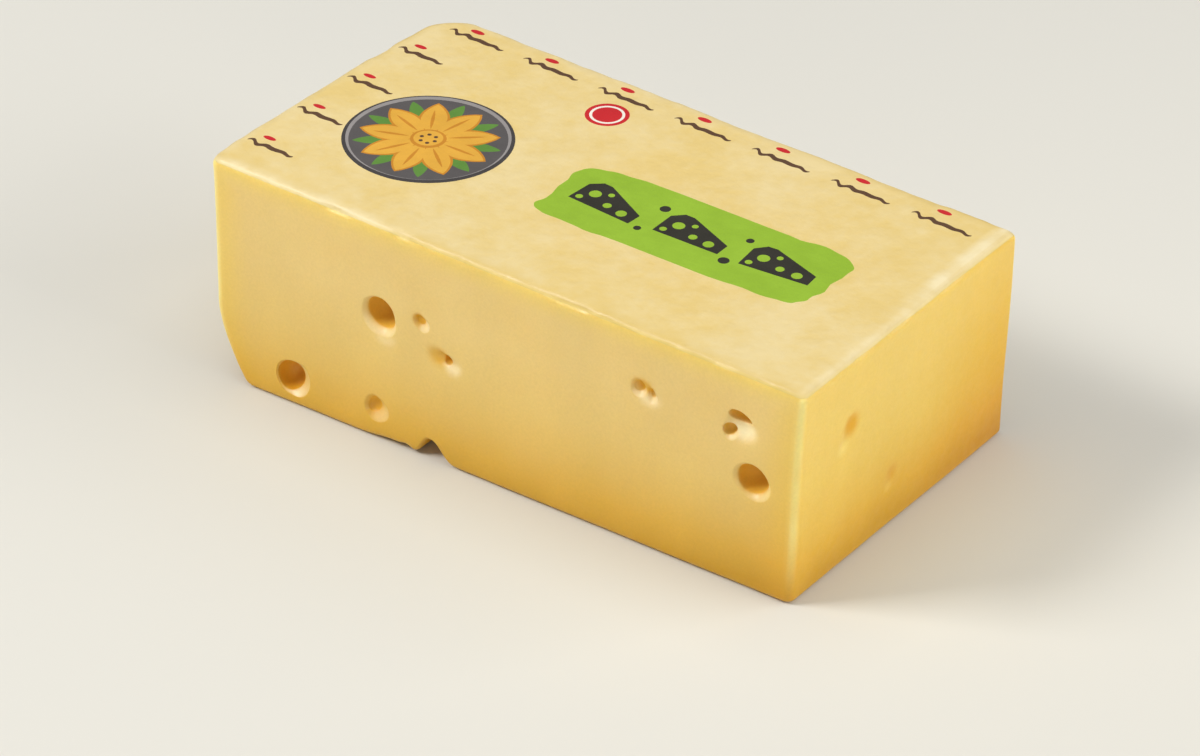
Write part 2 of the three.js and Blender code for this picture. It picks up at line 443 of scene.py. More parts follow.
@dataclass(frozen=True)
class Eye:
    """A hollow in a wall: a soft lip, then a rounded cavity that may widen below the face and lean."""

    at: Pair
    mouth: Pair
    depth: float
    lip: float = 0.8
    lean: Pair = (0.0, 0.0)
    bulge: float = 0.0
    tilt: float = 0.0
    aprons: tuple[Apron, ...] = ()
    # 1 would make a round lip, 2 makes a flat one.
    chamfer: float = 1.5
    # A mouth wider than this has rings of 72 points, and the others have 48.
    wide: float = 3.5
    lip_rings: int = 10
    cavity_rings: int = 13
    # How soon the painted highlight band of a lip fades toward its two sides.
    highlight_power: float = 0.7

    @property
    def around(self) -> int:
        """How many points its rings have."""
        return 72 if max(self.mouth) > self.wide else 48

    def heading(self, angles: np.ndarray) -> np.ndarray:
        """The direction on the face of angles round its mouth, both in radians."""
        direction = np.arctan2(np.sin(angles) * self.mouth[1], np.cos(angles) * self.mouth[0])
        return direction + math.radians(self.tilt)

    def lip_size(self, angles: np.ndarray) -> tuple[np.ndarray, np.ndarray]:
        """The size of the lip, its aprons included.

        Args:
            angles: Where round its mouth, in radians.

        Returns:
            The lip's breadth and its depth at each angle.
        """
        direction = self.heading(angles)
        breadth = self.lip + sum(apron.share(direction) * apron.width for apron in self.aprons)
        depth = self.lip + sum(apron.share(direction) * apron.depth for apron in self.aprons)
        return breadth * np.ones_like(direction), depth * np.ones_like(direction)

    def outline(self, grow: np.ndarray, angles: np.ndarray) -> np.ndarray:
        """Points round its mouth, moved out.

        Args:
            grow: How far each point is moved out, in millimetres.
            angles: Where on the outline, in radians.

        Returns:
            Rows of places on the face.
        """
        p = np.cos(angles) * (self.mouth[0] + grow)
        q = np.sin(angles) * (self.mouth[1] + grow)
        return turned(p, q, self.tilt, self.at)

    def reach(self, u: np.ndarray, z: np.ndarray, grow: float) -> np.ndarray:
        """How far out places on the face lie.

        Args:
            u: Along the face.
            z: Up from the base.
            grow: How far the lip's outer edge is moved out first.

        Returns:
            A number for each place: under 1 inside the moved edge, and over 1 outside it.
        """
        across, up = turned_back(u, z, self.tilt, self.at)
        p, q = across / self.mouth[0], up / self.mouth[1]
        breadth, _ = self.lip_size(np.arctan2(q, p))
        broad = self.mouth[0] + breadth + grow
        tall = self.mouth[1] + breadth + grow
        return np.hypot(p * self.mouth[0] / broad, q * self.mouth[1] / tall)

    def rings(self) -> list[tuple[np.ndarray, np.ndarray, np.ndarray]]:
        """The rings of its surface, from the lip's outer edge down.

        Returns:
            For each ring its places on the face, their depths, and how much painted highlight each carries.
        """
        angles = np.linspace(0.0, math.tau, self.around, endpoint=False)
        breadth, lip_depth = self.lip_size(angles)
        direction = self.heading(angles)
        # Painted highlight on the lips where the aprons face up into the light.
        painted_highlight = sum((apron.pale * apron.share(direction) for apron in self.aprons), np.zeros_like(angles))
        painted_highlight = np.clip(painted_highlight, 0.0, 1.0)
        found = []
        for turn in np.linspace(0.0, math.pi / 2, self.lip_rings, endpoint=False):
            out = 1.0 - math.sin(turn) ** self.chamfer
            down = 1.0 - math.cos(turn) ** self.chamfer
            band = math.sin(2.0 * turn) ** self.highlight_power
            found.append((self.outline(breadth * out, angles), lip_depth * down, painted_highlight * band))
        mouth = self.outline(np.zeros_like(angles), angles)
        for turn in np.linspace(0.0, math.pi / 2, self.cavity_rings, endpoint=False):
            scale = math.cos(turn) * (1.0 + self.bulge * math.sin(2.0 * turn))
            ring = np.array(self.at) + (mouth - self.at) * scale
            found.append((ring, lip_depth + (self.depth - lip_depth) * math.sin(turn), 0.0 * painted_highlight))
        found.append((np.array([self.at]), np.array([self.depth]), np.zeros(1)))
        return [(ring + np.outer(deep / self.depth, self.lean), deep, pale) for ring, deep, pale in found]


@dataclass(frozen=True)
class Dent:
    """A broad shallow dish in a wall, such as the sunken ground below an eye."""

    at: Pair
    size: Pair
    depth: float
    tilt: float = 0.0
    # The pale share is a painted highlight, and the share after it a painted gold shade in the hollow.
    pale: float = 0.0
    dent_shade: float = 0.0
    # Between these heights, as shares of its size, the dish takes a painted highlight toward its lower side.
    pale_from: float = 0.5
    pale_to: float = -0.3
    # The painted tones stay full farther out than the depth does, by these gains.
    pale_gain: float = 1.6
    dent_shade_gain: float = 1.4

    def share(self, u: np.ndarray, z: np.ndarray) -> np.ndarray:
        """How deep the dish is at places on the wall.

        Args:
            u: Along the wall.
            z: Up from the base.

        Returns:
            A share of its depth for each place.
        """
        across, up = turned_back(u, z, self.tilt, self.at)
        p, q = across / self.size[0], up / self.size[1]
        return np.maximum(0.0, 1.0 - p * p - q * q) ** 2

    def painted_highlight(self, u: np.ndarray, z: np.ndarray) -> np.ndarray:
        """How much painted highlight each place takes: the lower side of the dish does, where it faces up
        into the light.
        """
        below = smoothstep(self.pale_from, self.pale_to, (z - self.at[1]) / self.size[1])
        return self.pale * below * np.minimum(1.0, self.pale_gain * self.share(u, z))

    def dent_shaded(self, u: np.ndarray, z: np.ndarray) -> np.ndarray:
        """How much painted shade each place takes: a gold darkening, for shade and light bounced in the
        hollow.
        """
        return self.dent_shade * np.minimum(1.0, self.dent_shade_gain * self.share(u, z))


@dataclass(frozen=True)
class Notch:
    """An eye that the front bottom edge cuts open: an arch with a low foot on its left."""

    peak: float = -34.6
    rise: float = 9.4
    left_width: float = 5.2
    right_width: float = 7.6
    power: float = 2.6
    foot: float = -47.0
    foot_rise: float = 1.5
    foot_width: float = 3.6
    trail: float = -55.0
    trail_rise: float = 1.5
    trail_width: float = 9.0
    reach: float = 20.0
    fade: float = 32.0
    fade_power: float = 1.3

    def arch(self, x: np.ndarray) -> np.ndarray:
        """The arch's height over the base.

        Args:
            x: Places along the front.

        Returns:
            The height at each place.
        """
        width = np.where(x < self.peak, self.left_width, self.right_width)
        main = self.rise * np.exp(-(np.abs((x - self.peak) / width) ** self.power))
        foot = self.foot_rise * np.exp(-(((x - self.foot) / self.foot_width) ** 2))
        trail = self.trail_rise * np.exp(-(((x - self.trail) / self.trail_width) ** 2))
        return main + foot + trail

    def lift(self, points: np.ndarray, front: float) -> np.ndarray:
        """Raises the base and the foot of the front wall into the arch.

        Args:
            points: Rows of x, y and z of the true box.
            front: The front wall's distance from the middle.

        Returns:
            The raised points.
        """
        x, y, z = points.T
        inward = np.clip((y + front) / self.reach, 0.0, 1.0)
        upward = np.maximum(0.0, 1.0 - z / self.fade) ** self.fade_power
        return np.stack([x, y, z + self.arch(x) * np.sqrt(1.0 - inward**2) * upward], axis=-1)

    def shade(self, points: np.ndarray, front: float) -> np.ndarray:
        """How far into the opened eye each point of the base lies: the base takes the eyes' painted shade
        there.

        Args:
            points: Rows of x, y and z of the true box.
            front: The front wall's distance from the middle.

        Returns:
            A share for each point.
        """
        inward = points[:, 1] + front
        across = smoothstep(0.5, 5.0, inward)
        across = across * (1.0 - smoothstep(0.9 * self.reach, 1.3 * self.reach, inward))
        return across * smoothstep(1.0, 6.0, self.arch(points[:, 0]))


# Meshes

class MeshParts:
    """Gathers patches of points and faces that meet edge to edge, and joins them into one closed mesh."""

    # Points closer than this are one point, and edges sharper than this show as edges.
    merge_distance = 0.005 * MM
    sharp_angle = math.radians(60.0)

    def __init__(self, marks: Sequence[str]) -> None:
        """Starts with nothing gathered.

        Args:
            marks: The names of the numbers that each point carries.
        """
        self.points: list[np.ndarray] = []
        self.marks: dict[str, list[np.ndarray]] = {name: [] for name in marks}
        self.faces: list[list[int]] = []
        self.inks: list[int] = []
        self.count = 0

    def add(
        self,
        points: np.ndarray,
        faces: Iterable[Sequence[int]],
        inks: Sequence[int] = (),
        **marks: np.ndarray | float,
    ) -> None:
        """Adds one patch.

        Args:
            points: Its points in metres.
            faces: Its faces, by the patch's own point numbers.
            inks: The material slot of each face, or nothing for the first slot.
            marks: A number, or one for each point, for each named mark.
        """
        self.points.append(points)
        for name, values in self.marks.items():
            values.append(np.broadcast_to(marks[name], len(points)))
        moved = [[int(i) + self.count for i in face] for face in faces]
        self.faces += moved
        self.inks += list(inks) or [0] * len(moved)
        self.count += len(points)

    def build(self, name: str, materials: Iterable[bpy.types.Material]) -> bpy.types.Object:
        """Joins the patches.

        Args:
            name: The new object's name.
            materials: Its materials, in the order of their slots.

        Returns:
            The object, with its faces turned outwards and its marks as attributes.
        """
        mesh = bpy.data.meshes.new(name)
        mesh.from_pydata(np.concatenate(self.points).tolist(), [], self.faces)
        for label, values in self.marks.items():
            attribute = mesh.attributes.new(label, "FLOAT", "POINT")
            attribute.data.foreach_set("value", np.concatenate(values).astype(np.float32))
        for material in materials:
            mesh.materials.append(material)
        mesh.polygons.foreach_set("material_index", self.inks)
        shape = bmesh.new()
        shape.from_mesh(mesh)
        bmesh.ops.remove_doubles(shape, verts=shape.verts, dist=self.merge_distance)
        bmesh.ops.recalc_face_normals(shape, faces=shape.faces)
        loose = sum(1 for edge in shape.edges if len(edge.link_faces) != 2)
        shape.to_mesh(mesh)
        shape.free()
        mesh.shade_smooth()
        mesh.set_sharp_from_angle(angle=self.sharp_angle)
        counts = len(mesh.vertices), len(mesh.polygons), loose
        log.info("%s: %d points, %d faces, %d open edges", name, *counts)
        return add_object(name, mesh)


def ring_strip(lower: int, upper: int, count: int) -> list[tuple[int, int, int, int]]:
    """The faces between two closed rings of as many points, by the numbers of their first points."""
    following = [(i + 1) % count for i in range(count)]
    return [(lower + i, lower + j, upper + j, upper + i) for i, j in enumerate(following)]


class Keep(Enum):
    """Which triangles of a divided region are kept, by the divider's own numbers."""

    ALL = 0
    INSIDE_LOOPS = 1


def triangulate(
    points: np.ndarray,
    edges: Sequence[Sequence[int]],
    loops: Sequence[Sequence[int]],
    keep: Keep,
) -> tuple[np.ndarray, list[list[int]], list[list[int]]]:
    """Divides a flat region into triangles.

    Args:
        points: Rows of flat coordinates.
        edges: Pairs of point numbers that stay edges.
        loops: Loops of point numbers that stay outlines.
        keep: Which triangles are kept.

    Returns:
        The points, the triangles, and for each triangle the loops that hold it.
    """
    closest = 1e-5
    out = delaunay_2d_cdt([Vector(p) for p in points.tolist()], edges, loops, keep.value, closest, True)
    return np.array([tuple(v) for v in out[0]]), out[2], out[5]


def border_edges(open_cells: np.ndarray, number: np.ndarray) -> list[tuple[int, int]]:
    """The edges between the cleared cells of a grid and the cells that stay.

    Args:
        open_cells: Which cells are cleared, by row and column.
        number: The number of each node of the grid.

    Returns:
        Pairs of node numbers.
    """
    padded = np.pad(open_cells, 1)
    edges = []
    for j, i in zip(*np.nonzero(open_cells)):
        sides = (
            ((j, i), (j, i + 1), padded[j, i + 1]),
            ((j + 1, i), (j + 1, i + 1), padded[j + 2, i + 1]),
            ((j, i), (j + 1, i), padded[j + 1, i]),
            ((j, i + 1), (j + 1, i + 1), padded[j + 1, i + 2]),
        )
        edges += [(int(number[a]), int(number[b])) for a, b, beyond in sides if not beyond]
    return edges


# The cheese

@dataclass
class CheeseBlock:
    """The block of cheese, with the eyes of its cut faces, the dimples of its ends and its notch."""

    form: BlockForm
    eyes: dict[Wall, tuple[Eye, ...]]
    dents: dict[Wall, tuple[Dent, ...]]
    notch: Notch = Notch()

    # How finely the surface is divided.
    wall_step: float = 2.0
    notch_step: float = 0.6
    notch_zone: Pair = (-54.0, -18.0)
    corner_steps: tuple[int, ...] = (8, 7, 14, 8)
    edge_rows: int = 7

    # The soft surface: hand-sized waves, small ones, and the wear and the knocks of the top edge.
    broad_waves: Waviness = Waviness(45.0, 110.0, seed=3)
    broad_depth: float = 0.34
    close_waves: Waviness = Waviness(12.0, 26.0, seed=5)
    close_depth: float = 0.07
    relief_cap: float = 1.4
    wear_waves: Waviness = Waviness(22.0, 60.0, seed=11)
    wear_range: Pair = (0.05, 0.9)
    wear_depth: float = 0.7
    knock_waves: Waviness = Waviness(7.0, 19.0, seed=13)
    knock_depth: float = 0.32

    # The tones. Each pair says where a tone begins to change and where the change is full.
    end_blend: float = 22.0
    top_blend: float = 14.0
    # Painted highlights: along the upright edges, and faintly along the cut walls' top.
    upright_highlight: float = 0.85
    upright_offset: float = 0.8
    upright_rise: Pair = (0.0, 40.0)
    top_highlight: float = 0.1
    # Painted warm shade: on the right end toward its back, stronger low down, and on a strip of the front by
    # its right edge.
    warm_shade_end: float = 12.0
    warm_shade_across: Pair = (-10.0, 85.0)
    warm_shade_fade: Pair = (40.0, 105.0)
    warm_shade_loss: float = 0.6
    strip_warm_shade: float = 0.22
    strip_along: Pair = (34.0, 8.0)
    strip_across: Pair = (5.0, 1.0)
    strip_fade: Pair = (105.0, 60.0)
    # Painted shade deepens into an eye between the first two depths, and the ground's painted highlight
    # fades over the lip between the next two.
    eye_shade_depths: Pair = (0.4, 3.5)
    lip_depths: Pair = (0.0, 1.5)

    # Distances out from an eye's lip. The grid is cleared up to the first, its loose nodes go up to the
    # second, and a halo of points stands at the third. The others keep it clear of other lips and rows.
    cleared: float = 2.6
    crowding: float = 1.7
    halo: float = 0.95
    halo_clearance: float = 0.7
    halo_margin: float = 0.6

    def relief(self, points: np.ndarray) -> np.ndarray:
        """How far the soft surface is sunk, from hand-sized waves down to small ones.

        Args:
            points: Rows of x, y and z of the true box.

        Returns:
            The depth at each point.
        """
        broad = 0.5 + 0.5 * self.broad_waves.at(points)
        close = 0.5 + 0.5 * self.close_waves.at(points)
        broad, close = (np.clip(wave, 0.0, self.relief_cap) for wave in (broad, close))
        return self.broad_depth * broad + self.close_depth * close

    def edge_wear(self, points: np.ndarray) -> np.ndarray:
        """How much more the top edge is worn down at each place, in uneven stretches with small knocks."""
        worn = smoothstep(*self.wear_range, self.wear_waves.at(points))
        return self.wear_depth * worn + self.knock_depth * self.knock_waves.share(points)

    def sunk(self, wall: Wall, u: np.ndarray, z: np.ndarray) -> np.ndarray:
        """How far a wall is sunk, its dents and relief together.

        Args:
            wall: Which wall.
            u: Places along it.
            z: Their heights.

        Returns:
            The depth at each place.
        """
        total = self.relief(wall.value.place(u, z, 0.0)).reshape(np.shape(u))
        for dent in self.dents.get(wall, ()):
            total = total + dent.depth * dent.share(u, z)
        return total

    def tones(self, wall: Wall, u: np.ndarray, z: np.ndarray) -> tuple[np.ndarray, np.ndarray]:
        """The painted tones that a wall's dents give it.

        Args:
            wall: Which wall.
            u: Places along it.
            z: Their heights.

        Returns:
            How much painted highlight each place takes, and how much painted gold shade.
        """
        pale, dent_shade = np.zeros(np.shape(u)), np.zeros(np.shape(u))
        for dent in self.dents.get(wall, ()):
            pale = np.maximum(pale, dent.painted_highlight(u, z))
            dent_shade = np.maximum(dent_shade, dent.dent_shaded(u, z))
        return pale, dent_shade

    def skin_mark(self, points: np.ndarray) -> np.ndarray:
        """How much each point is yellower skin: the ends, the top, and the cut walls along their edges.

        Args:
            points: Rows of x, y and z of the true box.

        Returns:
            A share for each point.
        """
        past_end = np.abs(points[:, 0]) - (self.form.length / 2 - self.end_blend)
        past_top = points[:, 2] - (self.form.height - self.top_blend)
        at_end, at_top = smoothstep(0.0, self.end_blend, past_end), smoothstep(0.0, self.top_blend, past_top)
        return np.maximum(at_end, at_top)

    def edge_highlight_mark(self, points: np.ndarray) -> np.ndarray:
        """How much painted highlight each point takes on an edge: an upright one, or faintly a cut wall's
        top.

        Args:
            points: Rows of x, y and z of the true box.

        Returns:
            A share for each point.
        """
        form = self.form
        x, y, z = points.T
        # The painted highlight lies a little way round each edge, on the cut wall's side.
        along_wall = np.abs(form.length / 2 - np.abs(x) - self.upright_offset)
        from_corner = np.maximum(along_wall, form.depth / 2 - np.abs(y))
        mark = np.zeros(len(points))
        for (side_x, side_y), radius in zip(form.corners, form.upright_radii):
            here = (np.sign(x) == side_x) & (np.sign(y) == side_y)
            # A round corner gets less painted highlight than a tight one.
            upright = (1.0 - smoothstep(0.2 * radius, radius, from_corner)) * min(1.0, 5.0 / radius)
            mark = np.where(here, upright, mark)
        mark = self.upright_highlight * mark * smoothstep(*self.upright_rise, z)
        on_cut = 1.0 - smoothstep(form.length / 2 - 5.0, form.length / 2, np.abs(x))
        top = on_cut * smoothstep(form.height - self.top_blend, form.height - form.top_radius, z)
        return np.maximum(mark, self.top_highlight * top)

    def warm_shade_mark(self, points: np.ndarray) -> np.ndarray:
        """How much painted warm shade each point takes: the right end toward its back, stronger low down,
        and a front strip.

        Args:
            points: Rows of x, y and z of the true box.

        Returns:
            A share for each point.
        """
        x, y, z = points.T
        half = self.form.length / 2
        at_end = smoothstep(half - self.warm_shade_end, half, x)
        toward_back = at_end * smoothstep(*self.warm_shade_across, y)
        toward_back = toward_back * (1.0 - self.warm_shade_loss * smoothstep(*self.warm_shade_fade, z))
        # The strip is on the front wall, along its right edge.
        first, last = self.strip_along
        strip = smoothstep(half - first, half - last, x)
        strip = strip * smoothstep(*self.strip_across, y + self.form.depth / 2)
        strip = strip * smoothstep(*self.strip_fade, z)
        return np.maximum(toward_back, self.strip_warm_shade * strip)

    def columns(self) -> Outline:
        """Divides the outline, more finely at the notch.

        Returns:
            The columns of the side band.
        """
        zones = {wall: StepZones(self.wall_step) for wall in Wall}
        zones[Wall.FRONT] = StepZones(self.wall_step, self.notch_step, self.notch_zone)
        return self.form.outline(zones, self.corner_steps)

    def rows(self) -> tuple[np.ndarray, np.ndarray, np.ndarray]:
        """The rows of the side band, from the base's edge to the top's.

        Returns:
            For each row its inset, its height, and the angle that its surface has turned up from level.
        """
        low, tall = self.form.base_radius, self.form.top_radius
        high = self.form.height - tall
        quarter = np.linspace(0.0, math.pi / 2, self.edge_rows)
        base = [(low * (1 - math.sin(a)), low * (1 - math.cos(a)), a - math.pi / 2) for a in quarter]
        count = round((high - low) / self.wall_step)
        wall = [(0.0, low + (high - low) * k / count, 0.0) for k in range(1, count)]
        top = [(tall * (1 - math.cos(a)), high + tall * math.sin(a), a) for a in quarter]
        return tuple(np.array(column) for column in zip(*base, *wall, *top))

    def build(self) -> bpy.types.Object:
        """Builds the whole block.

        Returns:
            The block.
        """
        parts = MeshParts(("eye", "dent_shade", "skin", "edge", "warm_shade"))
        outline = self.columns()
        inset, height, turn = self.rows()
        level = outline.point - inset[:, None, None] * outline.spread
        shape = level.shape[:2]
        rows, columns = shape
        z = np.broadcast_to(height[:, None], shape)
        nominal = np.dstack([level, z])
        flat = nominal.reshape(-1, 3)
        fade = np.cos(turn)[:, None] ** 2
        edge = np.where(turn > 0.0, np.sin(2.0 * np.clip(turn, 0.0, math.pi / 2)), 0.0)[:, None]
        sink = self.relief(flat).reshape(shape) * fade
        sink = sink + self.edge_wear(flat).reshape(shape) * edge
        pale, dent_shade = np.zeros(shape), np.zeros(shape)
        for wall, dents in self.dents.items():
            at = outline.stops(wall)
            u = np.broadcast_to(outline.point[at] @ np.array(wall.value.along), (rows, len(at)))
            for dent in dents:
                sink[:, at] += dent.depth * dent.share(u, z[:, at]) * fade
            pale[:, at], dent_shade[:, at] = self.tones(wall, u, z[:, at])
        upward = np.broadcast_to(np.sin(turn)[:, None], shape)
        direction = np.dstack([np.cos(turn)[:, None, None] * outline.outward, upward])
        sunk = nominal - direction * sink[:, :, None]
        keep = np.ones((rows - 1, columns), bool)
        for wall in self.eyes:
            self.open_wall(parts, wall, outline, height, turn, keep)
        faces = []
        for j, i in zip(*np.nonzero(keep)):
            lower, following = j * columns, (i + 1) % columns
            upper = lower + columns
            faces.append((lower + i, lower + following, upper + following, upper + i))
        self.add_patch(parts, sunk.reshape(-1, 3), faces, dent_shade=dent_shade.ravel(), pale=pale.ravel())
        self.close_base(parts, sunk[0])
        self.add_patch(parts, sunk[-1], [range(columns)])
        return parts.build("cheese", [CheesePaste().make()])

    def add_patch(
        self,
        parts: MeshParts,
        points: np.ndarray,
        faces: Iterable[Sequence[int]],
        eye: np.ndarray | float = 0.0,
        dent_shade: np.ndarray | float = 0.0,
        pale: np.ndarray | float = 0.0,
    ) -> None:
        """Adds a patch of the true box, moved to where it is on the block, with its marks.

        Args:
            parts: Takes the patch.
            points: Its points on the true box.
            faces: Its faces.
            eye: How far into an eye each point is, which sets its painted shade.
            dent_shade: How much painted gold shade each point takes in a dent.
            pale: How much painted highlight each point takes.
        """
        front = self.form.depth / 2
        # The eye mark is painted shade, and the base inside the notch takes it too.
        marks = {
            "eye": np.maximum(eye, (points[:, 2] < self.form.base_radius) * self.notch.shade(points, front)),
            "dent_shade": dent_shade,
            "skin": self.skin_mark(points),
            "edge": np.maximum(self.edge_highlight_mark(points), pale),
            "warm_shade": self.warm_shade_mark(points),
        }
        parts.add(self.form.settle(self.notch.lift(points, front)), faces, **marks)

    def open_wall(
        self,
        parts: MeshParts,
        wall: Wall,
        outline: Outline,
        height: np.ndarray,
        turn: np.ndarray,
        keep: np.ndarray,
    ) -> None:
        """Opens one wall's eyes: clears the grid round each, and fills the gap with triangles and rings.

        Args:
            parts: Takes the new patches.
            wall: Which wall.
            outline: The grid's columns.
            height: The grid's rows.
            turn: How far each row has turned up from level.
            keep: Which of the grid's cells stay. Those round the eyes are cleared here.
        """
        eyes = self.eyes[wall]
        at = outline.stops(wall)
        u = outline.point[at] @ np.array(wall.value.along)
        order = np.argsort(u)
        at, u = at[order], u[order]
        upright = np.flatnonzero(turn == 0.0)
        z = height[upright]
        middle_u, middle_z = (u[1:] + u[:-1]) / 2, (z[1:] + z[:-1]) / 2
        open_cells = np.zeros((len(z) - 1, len(u) - 1), bool)
        for eye in eyes:
            open_cells |= eye.reach(middle_u[None, :], middle_z[:, None], self.cleared) < 1.0
        columns = keep.shape[1]
        for j, i in zip(*np.nonzero(open_cells)):
            first, second = at[i], at[i + 1]
            keep[upright[j], first if (first + 1) % columns == second else second] = False
        # The nodes of the cleared cells stay, except those that would crowd the rim of an eye.
        nodes = np.zeros((len(z), len(u)), bool)
        for dj in (0, 1):
            for di in (0, 1):
                nodes[dj : dj + len(z) - 1, di : di + len(u) - 1] |= open_cells
        padded = np.pad(open_cells, 1)
        inner = padded[:-1, :-1] & padded[1:, :-1] & padded[:-1, 1:] & padded[1:, 1:]
        grid_u, grid_z = np.meshgrid(u, z)
        crowded = np.zeros_like(nodes)
        for eye in eyes:
            crowded |= eye.reach(grid_u, grid_z, self.crowding) < 1.0
        wanted = nodes & ~(inner & crowded)
        number = -np.ones(nodes.shape, int)
        number[wanted] = np.arange(wanted.sum())
        flat = [np.stack([grid_u[wanted], grid_z[wanted]], axis=-1)]
        total = len(flat[0])
        loops = []
        for eye in eyes:
            rim = eye.rings()[0][0]
            loops.append(list(range(total, total + len(rim))))
            flat += [rim, self.halo_points(eye, eyes, (z[0], z[-1]))]
            total += len(rim) + len(flat[-1])
        points = np.concatenate(flat)
        found, triangles, holders = triangulate(points, border_edges(open_cells, number), loops, Keep.ALL)
        corners = found[np.array(triangles)]
        centres = corners.mean(axis=1)
        first, second = corners[:, 1] - corners[:, 0], corners[:, 2] - corners[:, 0]
        sliver = 1e-3
        solid = np.abs(first[:, 0] * second[:, 1] - first[:, 1] * second[:, 0]) > sliver
        cell_i = np.clip(np.searchsorted(u, centres[:, 0]) - 1, 0, len(u) - 2)
        cell_j = np.clip(np.searchsorted(z, centres[:, 1]) - 1, 0, len(z) - 2)
        inside = open_cells[cell_j, cell_i] & solid
        kept = [tuple(t) for t, ok, held in zip(triangles, inside, holders) if ok and not held]
        sink = self.sunk(wall, *found.T)
        pale, dent_shade = self.tones(wall, *found.T)
        self.add_patch(parts, wall.value.place(*found.T, sink), kept, dent_shade=dent_shade, pale=pale)
        for eye in eyes:
            self.add_eye(parts, wall, eye)

    def halo_points(self, eye: Eye, eyes: Sequence[Eye], limits: Pair) -> np.ndarray:
        """A ring of loose points just outside an eye's lip, which evens out the triangles there.

        Args:
            eye: The eye.
            eyes: All the eyes of its wall.
            limits: The lowest and the highest row of the wall.

        Returns:
            Rows of places on the wall, clear of the other eyes and of both rows.
        """
        angles = np.linspace(0.0, math.tau, eye.around * 2 // 3, endpoint=False)
        halo = eye.outline(eye.lip_size(angles)[0] + self.halo, angles)
        low, high = limits[0] + self.halo_margin, limits[1] - self.halo_margin
        apart = (halo[:, 1] > low) & (halo[:, 1] < high)
        for other in eyes:
            if other is not eye:
                apart &= other.reach(halo[:, 0], halo[:, 1], self.halo_clearance) > 1.0
        return halo[apart]

    def add_eye(self, parts: MeshParts, wall: Wall, eye: Eye) -> None:
        """Adds the lip and the cavity of one eye.

        Args:
            parts: Takes the patch.
            wall: The wall that it is in.
            eye: The eye.
        """
        rings, around = eye.rings(), eye.around
        points, depths, dent_shaded, painted_highlight = [], [], [], []
        for ring, deep, pale in rings:
            points.append(wall.value.place(*ring.T, self.sunk(wall, *ring.T) + deep))
            # The painted tones of the ground round the eye run on over its lip.
            ground_pale, ground_stain = self.tones(wall, *ring.T)
            # The eye mark is painted shade that deepens into the eye.
            depths.append(smoothstep(*self.eye_shade_depths, deep))
            dent_shaded.append(ground_stain)
            painted_highlight.append(np.maximum(pale, ground_pale * (1.0 - smoothstep(*self.lip_depths, deep))))
        faces = []
        for k in range(len(rings) - 2):
            faces += ring_strip(k * around, (k + 1) * around, around)
        tip = (len(rings) - 1) * around
        faces += [(tip - around + i, tip - around + (i + 1) % around, tip) for i in range(around)]
        points, depths, dent_shaded, painted_highlight = (np.concatenate(a) for a in (points, depths, dent_shaded, painted_highlight))
        self.add_patch(parts, points, faces, depths, dent_shaded, painted_highlight)

    def close_base(self, parts: MeshParts, rim: np.ndarray) -> None:
        """Closes the underside, with close points where the notch rises into it.

        Args:
            parts: Takes the new patch.
            rim: The lowest row of the side band, round the base.
        """
        # A sparse grid under the whole base, and a close one at the notch.
        sparse = flat_grid((-135.0, -63.0), (136.0, 64.0), 9.0)
        close = flat_grid((-54.0, -75.2), (-17.5, -58.5), 0.9)
        points = np.concatenate([rim[:, :2], sparse, close])
        found, triangles, _ = triangulate(points, [], [list(range(len(rim)))], Keep.INSIDE_LOOPS)
        self.add_patch(parts, np.column_stack([found, np.zeros(len(found))]), triangles)


# The printed film

class Ink(Enum):
    """The inks of the film, each with its colour. The first is the bare film."""

    BARE = "#DBC285"
    LEAF_GREEN = "#8DB128"
    NEAR_BLACK = "#272419"
    GOLD = "#D9A337"
    DEEP_GOLD = "#C1801B"
    SLATE = "#534F4E"
    DARK_SLATE = "#3C3837"
    PALE_SLATE = "#8F8A88"
    HERB_GREEN = "#588532"
    RED = "#C1181F"
    WHITE = "#EAE5D8"
    BROWN = "#573B24"


@dataclass(frozen=True)
class Patch:
    """One printed shape: a closed outline on the film and its ink. Later ones print over earlier ones."""

    outline: np.ndarray
    ink: Ink

    def turned_left(self) -> np.ndarray:
        """Runs its outline so that it turns left round the shape.

        Returns:
            Its points in that order.
        """
        x, y = self.outline.T
        area = np.sum(x * np.roll(y, -1) - y * np.roll(x, -1))
        return self.outline if area > 0.0 else self.outline[::-1]


def disc(at: Pair, radius: float, ink: Ink, squash: float = 1.0) -> Patch:
    """A round or oval patch.

    Args:
        at: Its middle.
        radius: Its half-length.
        ink: Its ink.
        squash: Its half-width as a share of its half-length.

    Returns:
        The patch.
    """
    count = int(np.clip(round(radius * 5), 16, 72))
    angle = np.linspace(0.0, math.tau, count, endpoint=False)
    p, q = np.cos(angle) * radius, np.sin(angle) * radius * squash
    return Patch(turned(p, q, 0.0, at), ink)


